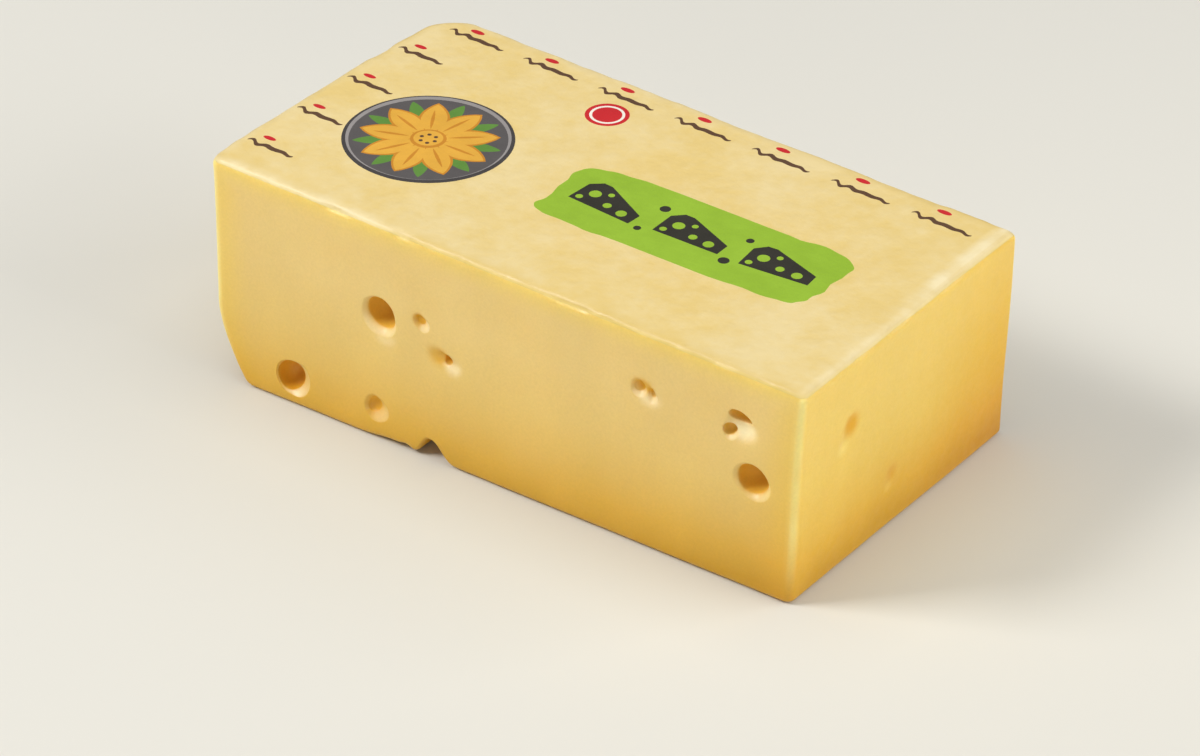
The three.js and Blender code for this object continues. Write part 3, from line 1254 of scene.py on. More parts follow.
def brushed_panel(at: Pair, size: Pair, ink: Ink, tilt: float, seed: int) -> Patch:
    """A broad brushed field of colour with full ends and slightly ragged edges.

    Args:
        at: Its middle.
        size: Its half-sizes.
        ink: Its ink.
        tilt: How far it is turned, in degrees.
        seed: Picks the raggedness.

    Returns:
        The patch.
    """
    angle = np.linspace(0.0, math.tau, 150, endpoint=False)
    # A squared-off oval: a power of 1 would be a true oval, and 0 a true rectangle.
    end_power, side_power = 0.28, 0.42
    p = np.sign(np.cos(angle)) * np.abs(np.cos(angle)) ** end_power * size[0]
    q = np.sign(np.sin(angle)) * np.abs(np.sin(angle)) ** side_power * size[1]
    flat = np.stack([p, q, np.zeros_like(p)], axis=-1)
    ragged_p, slow_p = Waviness(5.0, 16.0, seed), Waviness(24.0, 60.0, seed + 1)
    ragged_q, slow_q = Waviness(6.0, 20.0, seed + 2), Waviness(30.0, 80.0, seed + 3)
    p = p * (1.0 + 0.012 * ragged_p.at(flat)) + 1.6 * slow_p.at(flat)
    q = q * (1.0 + 0.020 * ragged_q.at(flat)) + 1.0 * slow_q.at(flat)
    return Patch(turned(p, q, tilt, at), ink)


def leaf(root: Pair, tip: Pair, width: float, ink: Ink) -> Patch:
    """A pointed leaf.

    Args:
        root: Where it begins.
        tip: Where it ends.
        width: Its greatest width.
        ink: Its ink.

    Returns:
        The patch.
    """
    a, b = np.array(root), np.array(tip)
    t = np.linspace(0.0, 1.0, 14)
    side = width / 2 * np.sin(math.pi * t) ** 0.8
    along = b - a
    across = np.array([-along[1], along[0]]) / np.linalg.norm(along)
    upper = a + t[:, None] * along + side[:, None] * across
    lower = a + t[::-1, None] * along - side[::-1, None] * across
    return Patch(np.concatenate([upper[:-1], lower[:-1]]), ink)


def ripple(at: Pair, length: float, tilt: float, ink: Ink, turns: float = 4.0) -> Patch:
    """A wavy stroke with tapered ends, like a drawn ripple.

    Args:
        at: Its middle.
        length: From end to end.
        tilt: How far it is turned, in degrees.
        ink: Its ink.
        turns: How many waves it has.

    Returns:
        The patch.
    """
    t = np.linspace(0.0, 1.0, 61)
    height = 1.5 * np.sin(math.tau * turns * t) * (0.55 + 0.45 * np.cos(5.0 * t))
    thick = 0.35 + 1.0 * np.sin(math.pi * t) ** 0.5
    along = (t - 0.5) * length
    p = np.concatenate([along, along[::-1]])
    q = np.concatenate([height + thick, (height - thick)[::-1]])
    return Patch(turned(p, q, tilt, at), ink)


# A wedge of cheese drawn flat, and its holes with their radii, as shares of its length.
WEDGE = np.array([(-0.5, -0.22), (0.5, -0.22), (0.5, 0.02), (-0.22, 0.34), (-0.36, 0.34), (-0.5, 0.2)])
WEDGE_HOLES = (
    (-0.28, 0.06, 0.085), (0.02, -0.06, 0.06), (0.28, -0.09, 0.075), (-0.1, 0.17, 0.045), (-0.4, -0.12, 0.05)
)


def wedge(at: Pair, length: float, ink: Ink, ground: Ink, tilt: float) -> list[Patch]:
    """A wedge of cheese drawn flat, with round holes in it.

    Args:
        at: Its middle.
        length: From its thick end to its point.
        ink: The wedge's ink.
        ground: The ink of its holes.
        tilt: How far it is turned, in degrees.

    Returns:
        Its patches.
    """
    patches = [Patch(turned(*(WEDGE * length).T, tilt, at), ink)]
    for p, q, radius in WEDGE_HOLES:
        patches.append(disc(turned(p * length, q * length, tilt, at), radius * length, ground))
    return patches


@dataclass(frozen=True)
class SheenStretch:
    """A stretch of the film along one edge of the top that carries a painted whitish sheen."""

    wall: Wall
    fade: float
    full: float
    inset: float
    spread: float
    strength: float

    def mark(self, flat: np.ndarray) -> np.ndarray:
        """How whitish places seen from above are.

        Args:
            flat: Rows of x and y.

        Returns:
            A share for each place.
        """
        face = self.wall.value
        inward = face.distance - flat @ np.array(face.outward)
        across = np.exp(-(((inward - self.inset) / self.spread) ** 2))
        return self.strength * across * smoothstep(self.fade, self.full, flat @ np.array(face.along))


@dataclass
class PrintedFilm:
    """The thin printed film, draped over the top and a little way down its rounded edges."""

    form: BlockForm
    cheese: CheeseBlock
    thickness: float = 0.26
    rim_thickness: float = 0.03
    clearance: float = 0.02
    rim_inset: float = 0.55
    rim_rise: float = 1.6
    ring_insets: tuple[float, ...] = (0.75, 1.0, 1.35, 1.75, 2.25, 2.8, 3.5)
    spacing: float = 4.0
    # Ripples and wrinkles draw the film down to the cheese, by these shares of its lift at most.
    ripples: Waviness = Waviness(14.0, 48.0, seed=23)
    ripple_share: float = 0.35
    wrinkles: Waviness = Waviness(5.0, 12.0, seed=29)
    wrinkle_share: float = 0.3
    most_drawn: float = 0.7
    # The worn stretches are painted whitish sheen along the top's edges.
    worn: tuple[SheenStretch, ...] = (
        SheenStretch(Wall.FRONT, -35.0, -70.0, 2.0, 2.6, 0.6),
        SheenStretch(Wall.RIGHT, -90.0, -60.0, 2.6, 2.4, 0.55),
        SheenStretch(Wall.RIGHT, -15.0, 25.0, 4.7, 2.3, 1.0),
        SheenStretch(Wall.BACK, 60.0, -20.0, 2.0, 2.5, 0.4),
        SheenStretch(Wall.LEFT, 60.0, -20.0, 2.0, 2.5, 0.4),
    )

    def design(self) -> list[Patch]:
        """The print: small wedges on a green panel, a flower on a slate, a roundel and rows of ripples.

        Returns:
            The patches, from the lowest to the topmost.
        """
        panel_x, panel_y = 46.0, -6.0
        patches = [brushed_panel((panel_x, panel_y), (67.0, 23.0), Ink.LEAF_GREEN, tilt=2.0, seed=31)]
        for k, dx in enumerate((-42.0, 0.0, 42.0)):
            at = (panel_x + dx, panel_y + dx * 0.035)
            patches += wedge(at, 32.0, Ink.NEAR_BLACK, Ink.LEAF_GREEN, tilt=-4.0 + 5.0 * k)
        for dx, dy, radius in ((-21.0, 9.0, 2.4), (-21.5, -10.0, 1.7), (21.0, 10.0, 1.8), (21.0, -9.0, 2.5)):
            patches.append(disc((panel_x + dx, panel_y + dy), radius, Ink.NEAR_BLACK))
        patches += self.rosette((-86.0, -12.0))
        for radius, ink in ((9.5, Ink.RED), (7.6, Ink.WHITE), (6.4, Ink.RED)):
            patches.append(disc((-40.0, 50.0), radius, ink))
        for k in range(7):
            x = -124.0 + 41.0 * k
            patches.append(ripple((x, 66.5 - 0.012 * (x + 124.0)), 30.0, -1.0, Ink.BROWN))
            patches.append(disc((x - 4.0, 72.0), 3.6, Ink.RED, squash=0.42))
        for k in range(4):
            y = -58.0 + 33.0 * k
            patches.append(ripple((-133.0, y), 24.0, 0.0, Ink.BROWN, turns=3.0))
            patches.append(disc((-138.0, y + 6.0), 3.2, Ink.RED, squash=0.42))
        return patches

    def rosette(self, at: Pair, radius: float = 36.0, petals: int = 9, seeds: int = 6) -> list[Patch]:
        """A golden flower on a round slate, with a green leaf between each two petals.

        Args:
            at: The slate's middle.
            radius: The slate's radius.
            petals: How many petals it has.
            seeds: How many dots its heart has.

        Returns:
            Its patches.
        """
        x, y = at
        patches = [
            disc(at, radius, Ink.DARK_SLATE),
            disc((x - 0.5, y + 0.7), radius - 1.6, Ink.PALE_SLATE),
            disc((x + 0.2, y - 0.2), radius - 2.9, Ink.SLATE),
        ]

        def spoke(inner: float, outer: float, turn: float, width: float, ink: Ink) -> None:
            """Adds a leaf that points out from the middle, from one radius to another."""
            c, s = math.cos(turn), math.sin(turn)
            patches.append(leaf((x + inner * c, y + inner * s), (x + outer * c, y + outer * s), width, ink))

        turns = [math.tau * k / petals for k in range(petals)]
        for k in range(petals):
            spoke(12.0, radius - 4.5, math.tau * (k + 0.5) / petals, 6.4, Ink.HERB_GREEN)
        for turn in turns:
            spoke(3.0, radius - 6.0, turn, 13.2, Ink.DEEP_GOLD)
        for turn in turns:
            spoke(4.5, radius - 7.2, turn, 11.0, Ink.GOLD)
            spoke(8.0, radius - 12.0, turn + 0.03, 1.5, Ink.DEEP_GOLD)
        patches += [disc(at, 7.6, Ink.DEEP_GOLD), disc((x - 0.3, y + 0.4), 6.2, Ink.GOLD)]
        for k in range(seeds):
            turn = math.tau * k / seeds
            patches.append(disc((x + 3.4 * math.cos(turn), y + 3.4 * math.sin(turn)), 0.9, Ink.BROWN))
        return patches

    def drape(self, flat: np.ndarray, above: float) -> np.ndarray:
        """Lays places seen from above onto the block's top and its rounded edge.

        Args:
            flat: Rows of x and y.
            above: The share of the film's thickness that each point stands at.

        Returns:
            Points in metres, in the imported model's frame.
        """
        form = self.form
        x, y = flat.T
        inset = form.inset(x, y)
        lean = np.clip(1.0 - inset / form.top_radius, 0.0, 1.0)
        turn = np.arccos(lean)
        height = form.height - form.top_radius + form.top_radius * np.sin(turn)
        # The way down the edge, from the change of the inset over a small nudge.
        nudge = 0.05
        slope_x = form.inset(x - nudge, y) - form.inset(x + nudge, y)
        slope_y = form.inset(x, y - nudge) - form.inset(x, y + nudge)
        slope = np.stack([slope_x, slope_y], axis=-1)
        slope /= np.maximum(np.linalg.norm(slope, axis=1, keepdims=True), 1e-9)
        outward = np.column_stack([slope * lean[:, None], np.sin(turn)])
        nominal = np.column_stack([x, y, height])
        sink = self.cheese.relief(nominal) * lean**2
        sink += self.cheese.edge_wear(nominal) * np.sin(2.0 * turn)
        rim = smoothstep(self.rim_inset, self.rim_inset + self.rim_rise, inset)
        lift = self.clearance + above * (self.rim_thickness + (self.thickness - self.rim_thickness) * rim)
        # The ripples are on the flat, and the fine wrinkles near the edge.
        near_edge = smoothstep(0.8, 2.5, inset) * (1.0 - smoothstep(5.0, 16.0, inset))
        rippled = self.ripple_share * self.ripples.share(nominal) * smoothstep(2.0, 6.0, inset)
        drawn = rippled + self.wrinkle_share * self.wrinkles.share(nominal) * near_edge
        lift = lift * (1.0 - above * np.clip(drawn, 0.0, self.most_drawn))
        return form.settle(nominal + outward * (lift - sink)[:, None])

    def marks(self, flat: np.ndarray) -> dict[str, np.ndarray]:
        """How much each place seen from above lies on the rounded edge, and its painted whitish sheen."""
        worn = np.max([stretch.mark(flat) for stretch in self.worn], axis=0)
        return {"edge": 1.0 - smoothstep(0.5, 5.0, self.form.inset(*flat.T)), "worn": worn}

    def build(self) -> bpy.types.Object:
        """Builds the film as a closed thin piece, each ink a material slot.

        Returns:
            The film.
        """
        outline = self.cheese.columns()
        count = len(outline.point)
        rings = [outline.point - inset * outline.spread for inset in (self.rim_inset, *self.ring_insets)]
        parts = MeshParts(("edge", "worn"))
        # The upper side has every ring, and the lower side every second one.
        for above, every in ((1.0, 1), (0.0, 2)):
            strip = rings[::-1][::every][::-1]
            strip = strip if strip[0] is rings[0] else [rings[0], *strip]
            flat = np.concatenate(strip)
            faces = [f for k in range(len(strip) - 1) for f in ring_strip(k * count, (k + 1) * count, count)]
            parts.add(self.drape(flat, above), faces, **self.marks(flat))
        # The open side between the upper and the lower rim.
        rim = np.concatenate([self.drape(rings[0], 1.0), self.drape(rings[0], 0.0)])
        parts.add(rim, ring_strip(0, count, count), edge=1.0, worn=0.0)
        parts.add(self.drape(rings[-1], 0.0), [range(count)], edge=0.0, worn=0.0)
        self.add_top(parts, rings[-1])
        return parts.build("film", [FilmPrint(ink).make() for ink in Ink])

    def add_top(self, parts: MeshParts, rim: np.ndarray) -> None:
        """Adds the flat of the film's upper side, divided along its print.

        Args:
            parts: Takes the patch.
            rim: The innermost ring of the rounded edge.
        """
        flat = [rim, flat_grid((-144.0, -72.0), (145.0, 73.0), self.spacing)]
        patches = self.design()
        loops = [list(range(len(rim)))]
        total = sum(len(a) for a in flat)
        for patch in patches:
            loops.append(list(range(total, total + len(patch.outline))))
            flat.append(patch.turned_left())
            total += len(patch.outline)
        found, triangles, holders = triangulate(np.concatenate(flat), [], loops, Keep.INSIDE_LOOPS)
        inks = list(Ink)
        # Loop 0 is the rim, and the patches follow it. The last loop that holds a triangle gives its ink.
        kept = [(t, max(held)) for t, held in zip(triangles, holders) if 0 in held]
        slots = [0 if top == 0 else inks.index(patches[top - 1].ink) for _, top in kept]
        parts.add(self.drape(found, 1.0), [t for t, _ in kept], slots, **self.marks(found))


# Finishes

# Settings that several nodes share: a soft and a broken noise, the middle of a noise's range, and the two
# ways in which one colour is laid over another.
SOFT = {"Detail": 2.0, "Roughness": 0.5}
BROKEN = {"Detail": 3.0, "Roughness": 0.6}
MIDDLE = {"From Min": 0.3, "From Max": 0.7}
COVER = {"data_type": "RGBA"}
TINT = {"data_type": "RGBA", "blend_type": "MULTIPLY"}
# The sockets of a colour mix: how much of the second colour shows, and the two colours.
SHARE, FIRST, SECOND = 0, 6, 7


@dataclass(frozen=True)
class CheesePaste:
    """Emmental paste: a moist, dense, slightly see-through curd.

    The eye sees a soft glow under the surface, warm brown-gold depths in the eyes where light bounces from
    wall to wall, and a broad damp gloss. Those depths, the deeper tone toward the base, the gold of the
    dents and the warm right end are painted shade, and the pale edges and lips are painted highlights.
    """

    cut: str = "#EACE85"
    cut_deep: str = "#E6C575"
    skin: str = "#EAC964"
    # The next two tones are painted highlights: on the lips of the eyes, and on the edges of the skin.
    painted_highlight: str = "#FFF0C8"
    edge: str = "#FFF09B"
    # The next three tones are painted shade: in the eyes' depths, in the dents, and warm on the right end
    # and the front strip.
    eye: str = "#ECBE4C"
    dent_shade: str = "#F4D42A"
    warm_shade: str = "#FBEA86"
    roughness: float = 0.40
    # Painted shade toward the base, from the foot up.
    base_shade_tints: tuple[tuple[float, str], ...] = (
        (0.0, "#DFC438"),
        (0.14, "#F2DD80"),
        (0.29, "#F8EEC2"),
        (0.45, "#FCF9E6"),
        (0.7, "#FFFFFF"),
    )
    # How fast the painted shade toward the base changes along the block and up it, per metre: its line rises
    # to the right.
    base_shade_slope: tuple[float, float, float] = (-0.42, 0.0, 1.0 / 0.105)
    # The patterns' sizes in millimetres. Curd grain is about 0.8 mm, and is drawn coarser so that it shows.
    cloud: float = 30.3
    streak: float = 27.78
    pore: float = 4.348
    grain: float = 1.111
    # The cutting wire drew the streaks out upright.
    drawn: tuple[float, float, float] = (1.0, 1.0, 0.35)

    def make(self) -> bpy.types.Material:
        """Makes the material.

        Returns:
            The material, which reads the marks that the block's mesh carries.
        """
        material = empty_material("emmental_paste")
        tree = material.node_tree
        place = add_node(tree, "TexCoord").outputs["Object"]
        drawn = add_node(tree, "Mapping", {"Scale": self.drawn}, {"Vector": place})
        clouds, streaks, pores, grain = (
            add_node(tree, "TexNoise", {"Scale": 1.0 / (size * MM), **noise}, {"Vector": source})
            for size, noise, source in (
                (self.cloud, SOFT, place),
                (self.streak, SOFT, drawn),
                (self.pore, SOFT, place),
                (self.grain, BROKEN, place),
            )
        )
        skin, eye, dent_shade, warm_shade, edge = (
            add_node(tree, "Attribute", {"attribute_name": name}).outputs["Fac"]
            for name in ("skin", "eye", "dent_shade", "warm_shade", "edge")
        )
        cut = {FIRST: linear(self.cut), SECOND: linear(self.cut_deep)}
        colour = add_node(tree, "Mix", {**COVER, **cut}, {SHARE: clouds})
        # The skin is the paste's own yellower tone, and the eye tone a painted shade that deepens into the
        # eyes.
        for mark, tone in ((skin, self.skin), (eye, self.eye)):
            colour = add_node(tree, "Mix", {**COVER, SECOND: linear(tone)}, {SHARE: mark, FIRST: colour})
        # Painted shade toward the base, warm and deepest at the foot, along an uneven line.
        height = add_node(tree, "VectorMath", {"operation": "DOT_PRODUCT", 1: self.base_shade_slope}, {0: place})
        drift = add_node(tree, "MapRange", {"To Min": -0.042, "To Max": 0.078}, {"Value": clouds})
        foot = add_node(tree, "ValToRGB", {}, {0: add_node(tree, "Math", {}, {0: height, 1: drift})})
        stops = foot.color_ramp.elements
        while len(stops) < len(self.base_shade_tints):
            stops.new(1.0)
        for stop, (at, tint) in zip(stops, self.base_shade_tints):
            stop.position = at
            stop.color = linear(tint)
        colour = add_node(tree, "Mix", {**TINT, SHARE: 1.0}, {FIRST: colour, SECOND: foot})
        # Painted gold shade in the dents, and painted warm shade on the right end and the front strip.
        for mark, tint in ((dent_shade, self.dent_shade), (warm_shade, self.warm_shade)):
            colour = add_node(tree, "Mix", {**TINT, SECOND: linear(tint)}, {SHARE: mark, FIRST: colour})
        # Painted highlights on the edges and on the lower lips of the eyes, in uneven stretches. On the skin
        # the painted highlight is a warmer pale than on the lips of the eyes.
        uneven = {"From Min": 0.25, "From Max": 0.75, "To Min": 0.55}
        painted_highlight = add_node(tree, "MapRange", uneven, {"Value": clouds})
        edge_highlight_share = add_node(tree, "Math", {"operation": "MULTIPLY"}, {0: edge, 1: painted_highlight})
        pales = {FIRST: linear(self.painted_highlight), SECOND: linear(self.edge)}
        painted_edge_tone = add_node(tree, "Mix", {**COVER, **pales}, {SHARE: skin})
        colour = add_node(tree, "Mix", COVER, {SHARE: edge_highlight_share, FIRST: colour, SECOND: painted_edge_tone})
        # Faint streaks and specks, a little darker and a little lighter than the paste.
        for noise, lightest in ((streaks, 1.025), (grain, 1.03)):
            faint = {**MIDDLE, "To Min": 0.965, "To Max": lightest}
            tone = add_node(tree, "MapRange", faint, {"Value": noise})
            colour = add_node(tree, "Mix", {**TINT, SHARE: 1.0}, {FIRST: colour, SECOND: tone})
        # The hollows are duller than the cut faces.
        gloss = {"To Min": self.roughness - 0.07, "To Max": self.roughness + 0.09}
        damp = add_node(tree, "MapRange", {**MIDDLE, **gloss}, {"Value": pores})
        dulled = add_node(tree, "Math", {"operation": "MULTIPLY_ADD", 1: 0.25}, {0: eye, 2: damp})
        fine = add_node(tree, "Bump", {"Strength": 0.2, "Distance": 0.12 * MM}, {"Height": grain})
        pitted = {"Strength": 0.25, "Distance": 0.4 * MM}
        bump = add_node(tree, "Bump", pitted, {"Height": pores, "Normal": fine})
        curd = {
            "IOR": 1.45,
            "Subsurface Weight": 0.6,
            "Subsurface Radius": (1.0, 0.8, 0.55),
            "Subsurface Scale": 0.9 * MM,
            "Coat Weight": 0.25,
            "Coat Roughness": 0.42,
        }
        looks = {"Base Color": colour, "Roughness": dulled, "Normal": bump}
        shader = add_node(tree, "BsdfPrincipled", curd, looks)
        add_node(tree, "OutputMaterial", {}, {"Surface": shader})
        return material


@dataclass(frozen=True)
class FilmPrint:
    """One ink on clinging polyethylene film over the paste: even colour under a soft satin skin."""

    ink: Ink
    roughness: float = 0.47
    deep: str = "#DDC27A"
    pale: str = "#E0CB93"
    # The next three tones are painted: shade over the rounded edge, a lighter tone at its very edge, and a
    # whitish sheen.
    rim: str = "#D0B363"
    hem: str = "#DCC16D"
    worn: str = "#ECDFB8"
    # The patterns' sizes in millimetres: how the film clings to the cheese below, its creases, and the
    # paste's grain, flecks and broad fields seen through it.
    cling: float = 12.5
    crease: float = 5.263
    grain: float = 1.923
    fleck: float = 3.846
    field: float = 62.5

    def make(self) -> bpy.types.Material:
        """Makes the material.

        Returns:
            The material, named for its ink.
        """
        material = empty_material(f"film_{self.ink.name.lower()}")
        tree = material.node_tree
        place = add_node(tree, "TexCoord").outputs["Object"]
        cling, crinkle, grain = (
            add_node(tree, "TexNoise", {"Scale": 1.0 / (size * MM), **noise}, {"Vector": place})
            for size, noise in (
                (self.cling, {"Detail": 3.0, "Roughness": 0.55}),
                (self.crease, SOFT),
                (self.grain, BROKEN),
            )
        )
        if self.ink is Ink.BARE:
            colour = self.clear_colour(tree, place, cling)
        else:
            tone = add_node(tree, "MapRange", {**MIDDLE, "To Min": 0.96, "To Max": 1.04}, {"Value": cling})
            inked = {**TINT, SHARE: 1.0, FIRST: linear(self.ink.value)}
            colour = add_node(tree, "Mix", inked, {SECOND: tone})
        gloss = {"To Min": self.roughness - 0.08, "To Max": self.roughness + 0.1}
        satin = add_node(tree, "MapRange", {**MIDDLE, **gloss}, {"Value": cling})
        bump = None
        for noise, strength, distance in ((grain, 0.25, 0.15), (crinkle, 0.45, 0.7), (cling, 0.5, 1.2)):
            below = {"Normal": bump} if bump else {}
            relief = {"Strength": strength, "Distance": distance * MM}
            bump = add_node(tree, "Bump", relief, {"Height": noise, **below})
        skin = {"IOR": 1.5, "Coat Weight": 0.08, "Coat Roughness": 0.3}
        looks = {"Base Color": colour, "Roughness": satin, "Normal": bump}
        shader = add_node(tree, "BsdfPrincipled", skin, looks)
        add_node(tree, "OutputMaterial", {}, {"Surface": shader})
        return material

    def clear_colour(
        self,
        tree: bpy.types.NodeTree,
        place: bpy.types.NodeSocket,
        cling: bpy.types.Node,
    ) -> bpy.types.Node:
        """The bare film, which shows the paste through it.

        Args:
            tree: The material's node tree.
            place: Gives the place on the film.
            cling: Gives how closely the film clings.

        Returns:
            The node that gives its colour: paler where the film lifts, deeper where it clings.
        """
        fleck, fields = (
            add_node(tree, "TexNoise", {"Scale": 1.0 / (size * MM), **noise}, {"Vector": place})
            for size, noise in ((self.fleck, BROKEN), (self.field, {"Detail": 1.0, "Roughness": 0.5}))
        )
        total = cling
        for noise, weight in ((fleck, 0.5), (fields, 1.4)):
            total = add_node(tree, "Math", {"operation": "MULTIPLY_ADD", 1: weight}, {0: noise, 2: total})
        share = add_node(tree, "MapRange", {"From Min": 1.15, "From Max": 1.75}, {"Value": total})
        tones = {FIRST: linear(self.deep), SECOND: linear(self.pale)}
        mottled = add_node(tree, "Mix", {**COVER, **tones}, {SHARE: share})
        # Painted shade over the rolled edge, against the light it catches, and a lighter painted tone at its
        # hem.
        edge, worn = (
            add_node(tree, "Attribute", {"attribute_name": name}).outputs["Fac"] for name in ("edge", "worn")
        )
        hemmed = add_node(tree, "MapRange", {"From Min": 0.8, "From Max": 0.96}, {"Value": edge})
        tones = {FIRST: linear(self.rim), SECOND: linear(self.hem)}
        painted_edge_tone = add_node(tree, "Mix", {**COVER, **tones}, {SHARE: hemmed})
        rimmed = add_node(tree, "Mix", COVER, {SHARE: edge, FIRST: mottled, SECOND: painted_edge_tone})
        # Painted whitish sheen, in broken stretches.
        broken = {"From Min": 0.38, "From Max": 0.6, "To Min": 0.62}
        sheen_breaks = add_node(tree, "MapRange", broken, {"Value": cling})
        sheen_share = add_node(tree, "Math", {"operation": "MULTIPLY"}, {0: worn, 1: sheen_breaks})
        return add_node(tree, "Mix", {**COVER, SECOND: linear(self.worn)}, {SHARE: sheen_share, FIRST: rimmed})


@dataclass(frozen=True)
class PaleFloor:
    """Matt off-white board for the floor, with nothing on it to draw the eye."""

    colour: str = "#D6D4CC"
    roughness: float = 0.85

    def make(self) -> bpy.types.Material:
        """Makes the material.

        Returns:
            The material.
        """
        material = empty_material("matt_pale_board")
        tree = material.node_tree
        board = {"Base Color": linear(self.colour), "Roughness": self.roughness}
        shader = add_node(tree, "BsdfPrincipled", board)
        add_node(tree, "OutputMaterial", {}, {"Surface": shader})
        return material


# The studio

@dataclass(frozen=True)
class SoftBox:
    """A soft light: where it stands, its size, its power, its colour and what it is turned to."""

    name: str
    at: tuple[float, float, float]
    size: Pair
    power: float
    colour: tuple[float, float, float]
    aim: tuple[float, float, float] = (0.0, 0.0, 0.05)

    def place(self) -> None:
        """Stands the light and turns it to the block."""
        lamp = bpy.data.lights.new(self.name, "AREA")
        lamp.shape = "RECTANGLE"
        lamp.size, lamp.size_y = self.size
        lamp.energy = self.power
        lamp.color = self.colour
        holder = add_object(self.name, lamp)
        holder.location = self.at
        holder.rotation_euler = (Vector(self.aim) - holder.location).to_track_quat("-Z", "Y").to_euler()


@dataclass(frozen=True)
class Studio:
    """The floor, the lights, and a camera at the photograph's viewing angle."""

    azimuth: float = 35.18
    elevation: float = 33.82
    roll: float = 0.71
    distance: float = 2164.0
    aim: Pair = (-3.28, 9.86)
    lens: float = 150.0
    sensor: float = 36.0
    floor_reach: float = 4.0
    backdrop: tuple[float, float, float, float] = (0.9, 0.93, 1.0, 1.0)
    backdrop_strength: float = 0.24
    lights: tuple[SoftBox, ...] = (
        SoftBox("key", (-1.61, -1.40, 2.03), (0.98, 0.98), 59.5, (1.0, 0.985, 0.955)),
        SoftBox("overhead", (0.0, 0.0, 2.0), (1.6, 1.6), 12.8, (1.0, 0.99, 0.97)),
        SoftBox("right_back", (1.5, 1.2, 1.1), (1.0, 0.9), 11.2, (1.0, 0.98, 0.93)),
        SoftBox("right", (1.9, 0.3, 0.9), (1.0, 1.0), 15.4, (1.0, 0.98, 0.93)),
        SoftBox("corner_fill", (1.5, -1.7, 0.35), (1.3, 0.5), 8.0, (1.0, 0.98, 0.94)),
    )

    def camera(self, middle: Pair) -> None:
        """Makes the camera.

        Args:
            middle: The middle of the block's box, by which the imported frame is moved.
        """
        az, el, roll = (math.radians(a) for a in (self.azimuth, self.elevation, self.roll))
        back = Vector((math.sin(az) * math.cos(el), -math.cos(az) * math.cos(el), math.sin(el)))
        level = Vector((math.cos(az), math.sin(az), 0.0))
        rise = back.cross(level)
        right = math.cos(roll) * level + math.sin(roll) * rise
        up = -math.sin(roll) * level + math.cos(roll) * rise
        spot = back * self.distance + right * self.aim[0] + up * self.aim[1] - Vector((*middle, 0.0))
        eye = bpy.data.cameras.new("camera")
        eye.sensor_width = self.sensor
        eye.lens = self.lens
        holder = add_object("camera", eye)
        turn = Matrix((right, up, back)).transposed().to_4x4()
        holder.matrix_world = Matrix.Translation(spot * MM) @ turn
        bpy.context.scene.camera = holder

    def floor(self) -> None:
        """Lays the floor."""
        reach = self.floor_reach
        corners = [(-reach, -reach, 0), (reach, -reach, 0), (reach, reach, 0), (-reach, reach, 0)]
        mesh = bpy.data.meshes.new("floor")
        mesh.from_pydata(corners, [], [(0, 1, 2, 3)])
        mesh.materials.append(PaleFloor().make())
        ground = add_object("floor", mesh)

    def build(self, middle: Pair) -> None:
        """Sets up everything but the block.

        Args:
            middle: The middle of the block's box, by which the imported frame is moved.
        """
        self.camera(middle)
        self.floor()
        for light in self.lights:
            light.place()
        world = bpy.data.worlds.new("studio")
        world.use_nodes = True
        backdrop = world.node_tree.nodes["Background"]
        backdrop.inputs["Color"].default_value = self.backdrop
        backdrop.inputs["Strength"].default_value = self.backdrop_strength
        bpy.context.scene.world = world
        bpy.context.scene.view_settings.view_transform = "Standard"


# The cheese's own eyes and dents. Places are along the wall and up from the base.

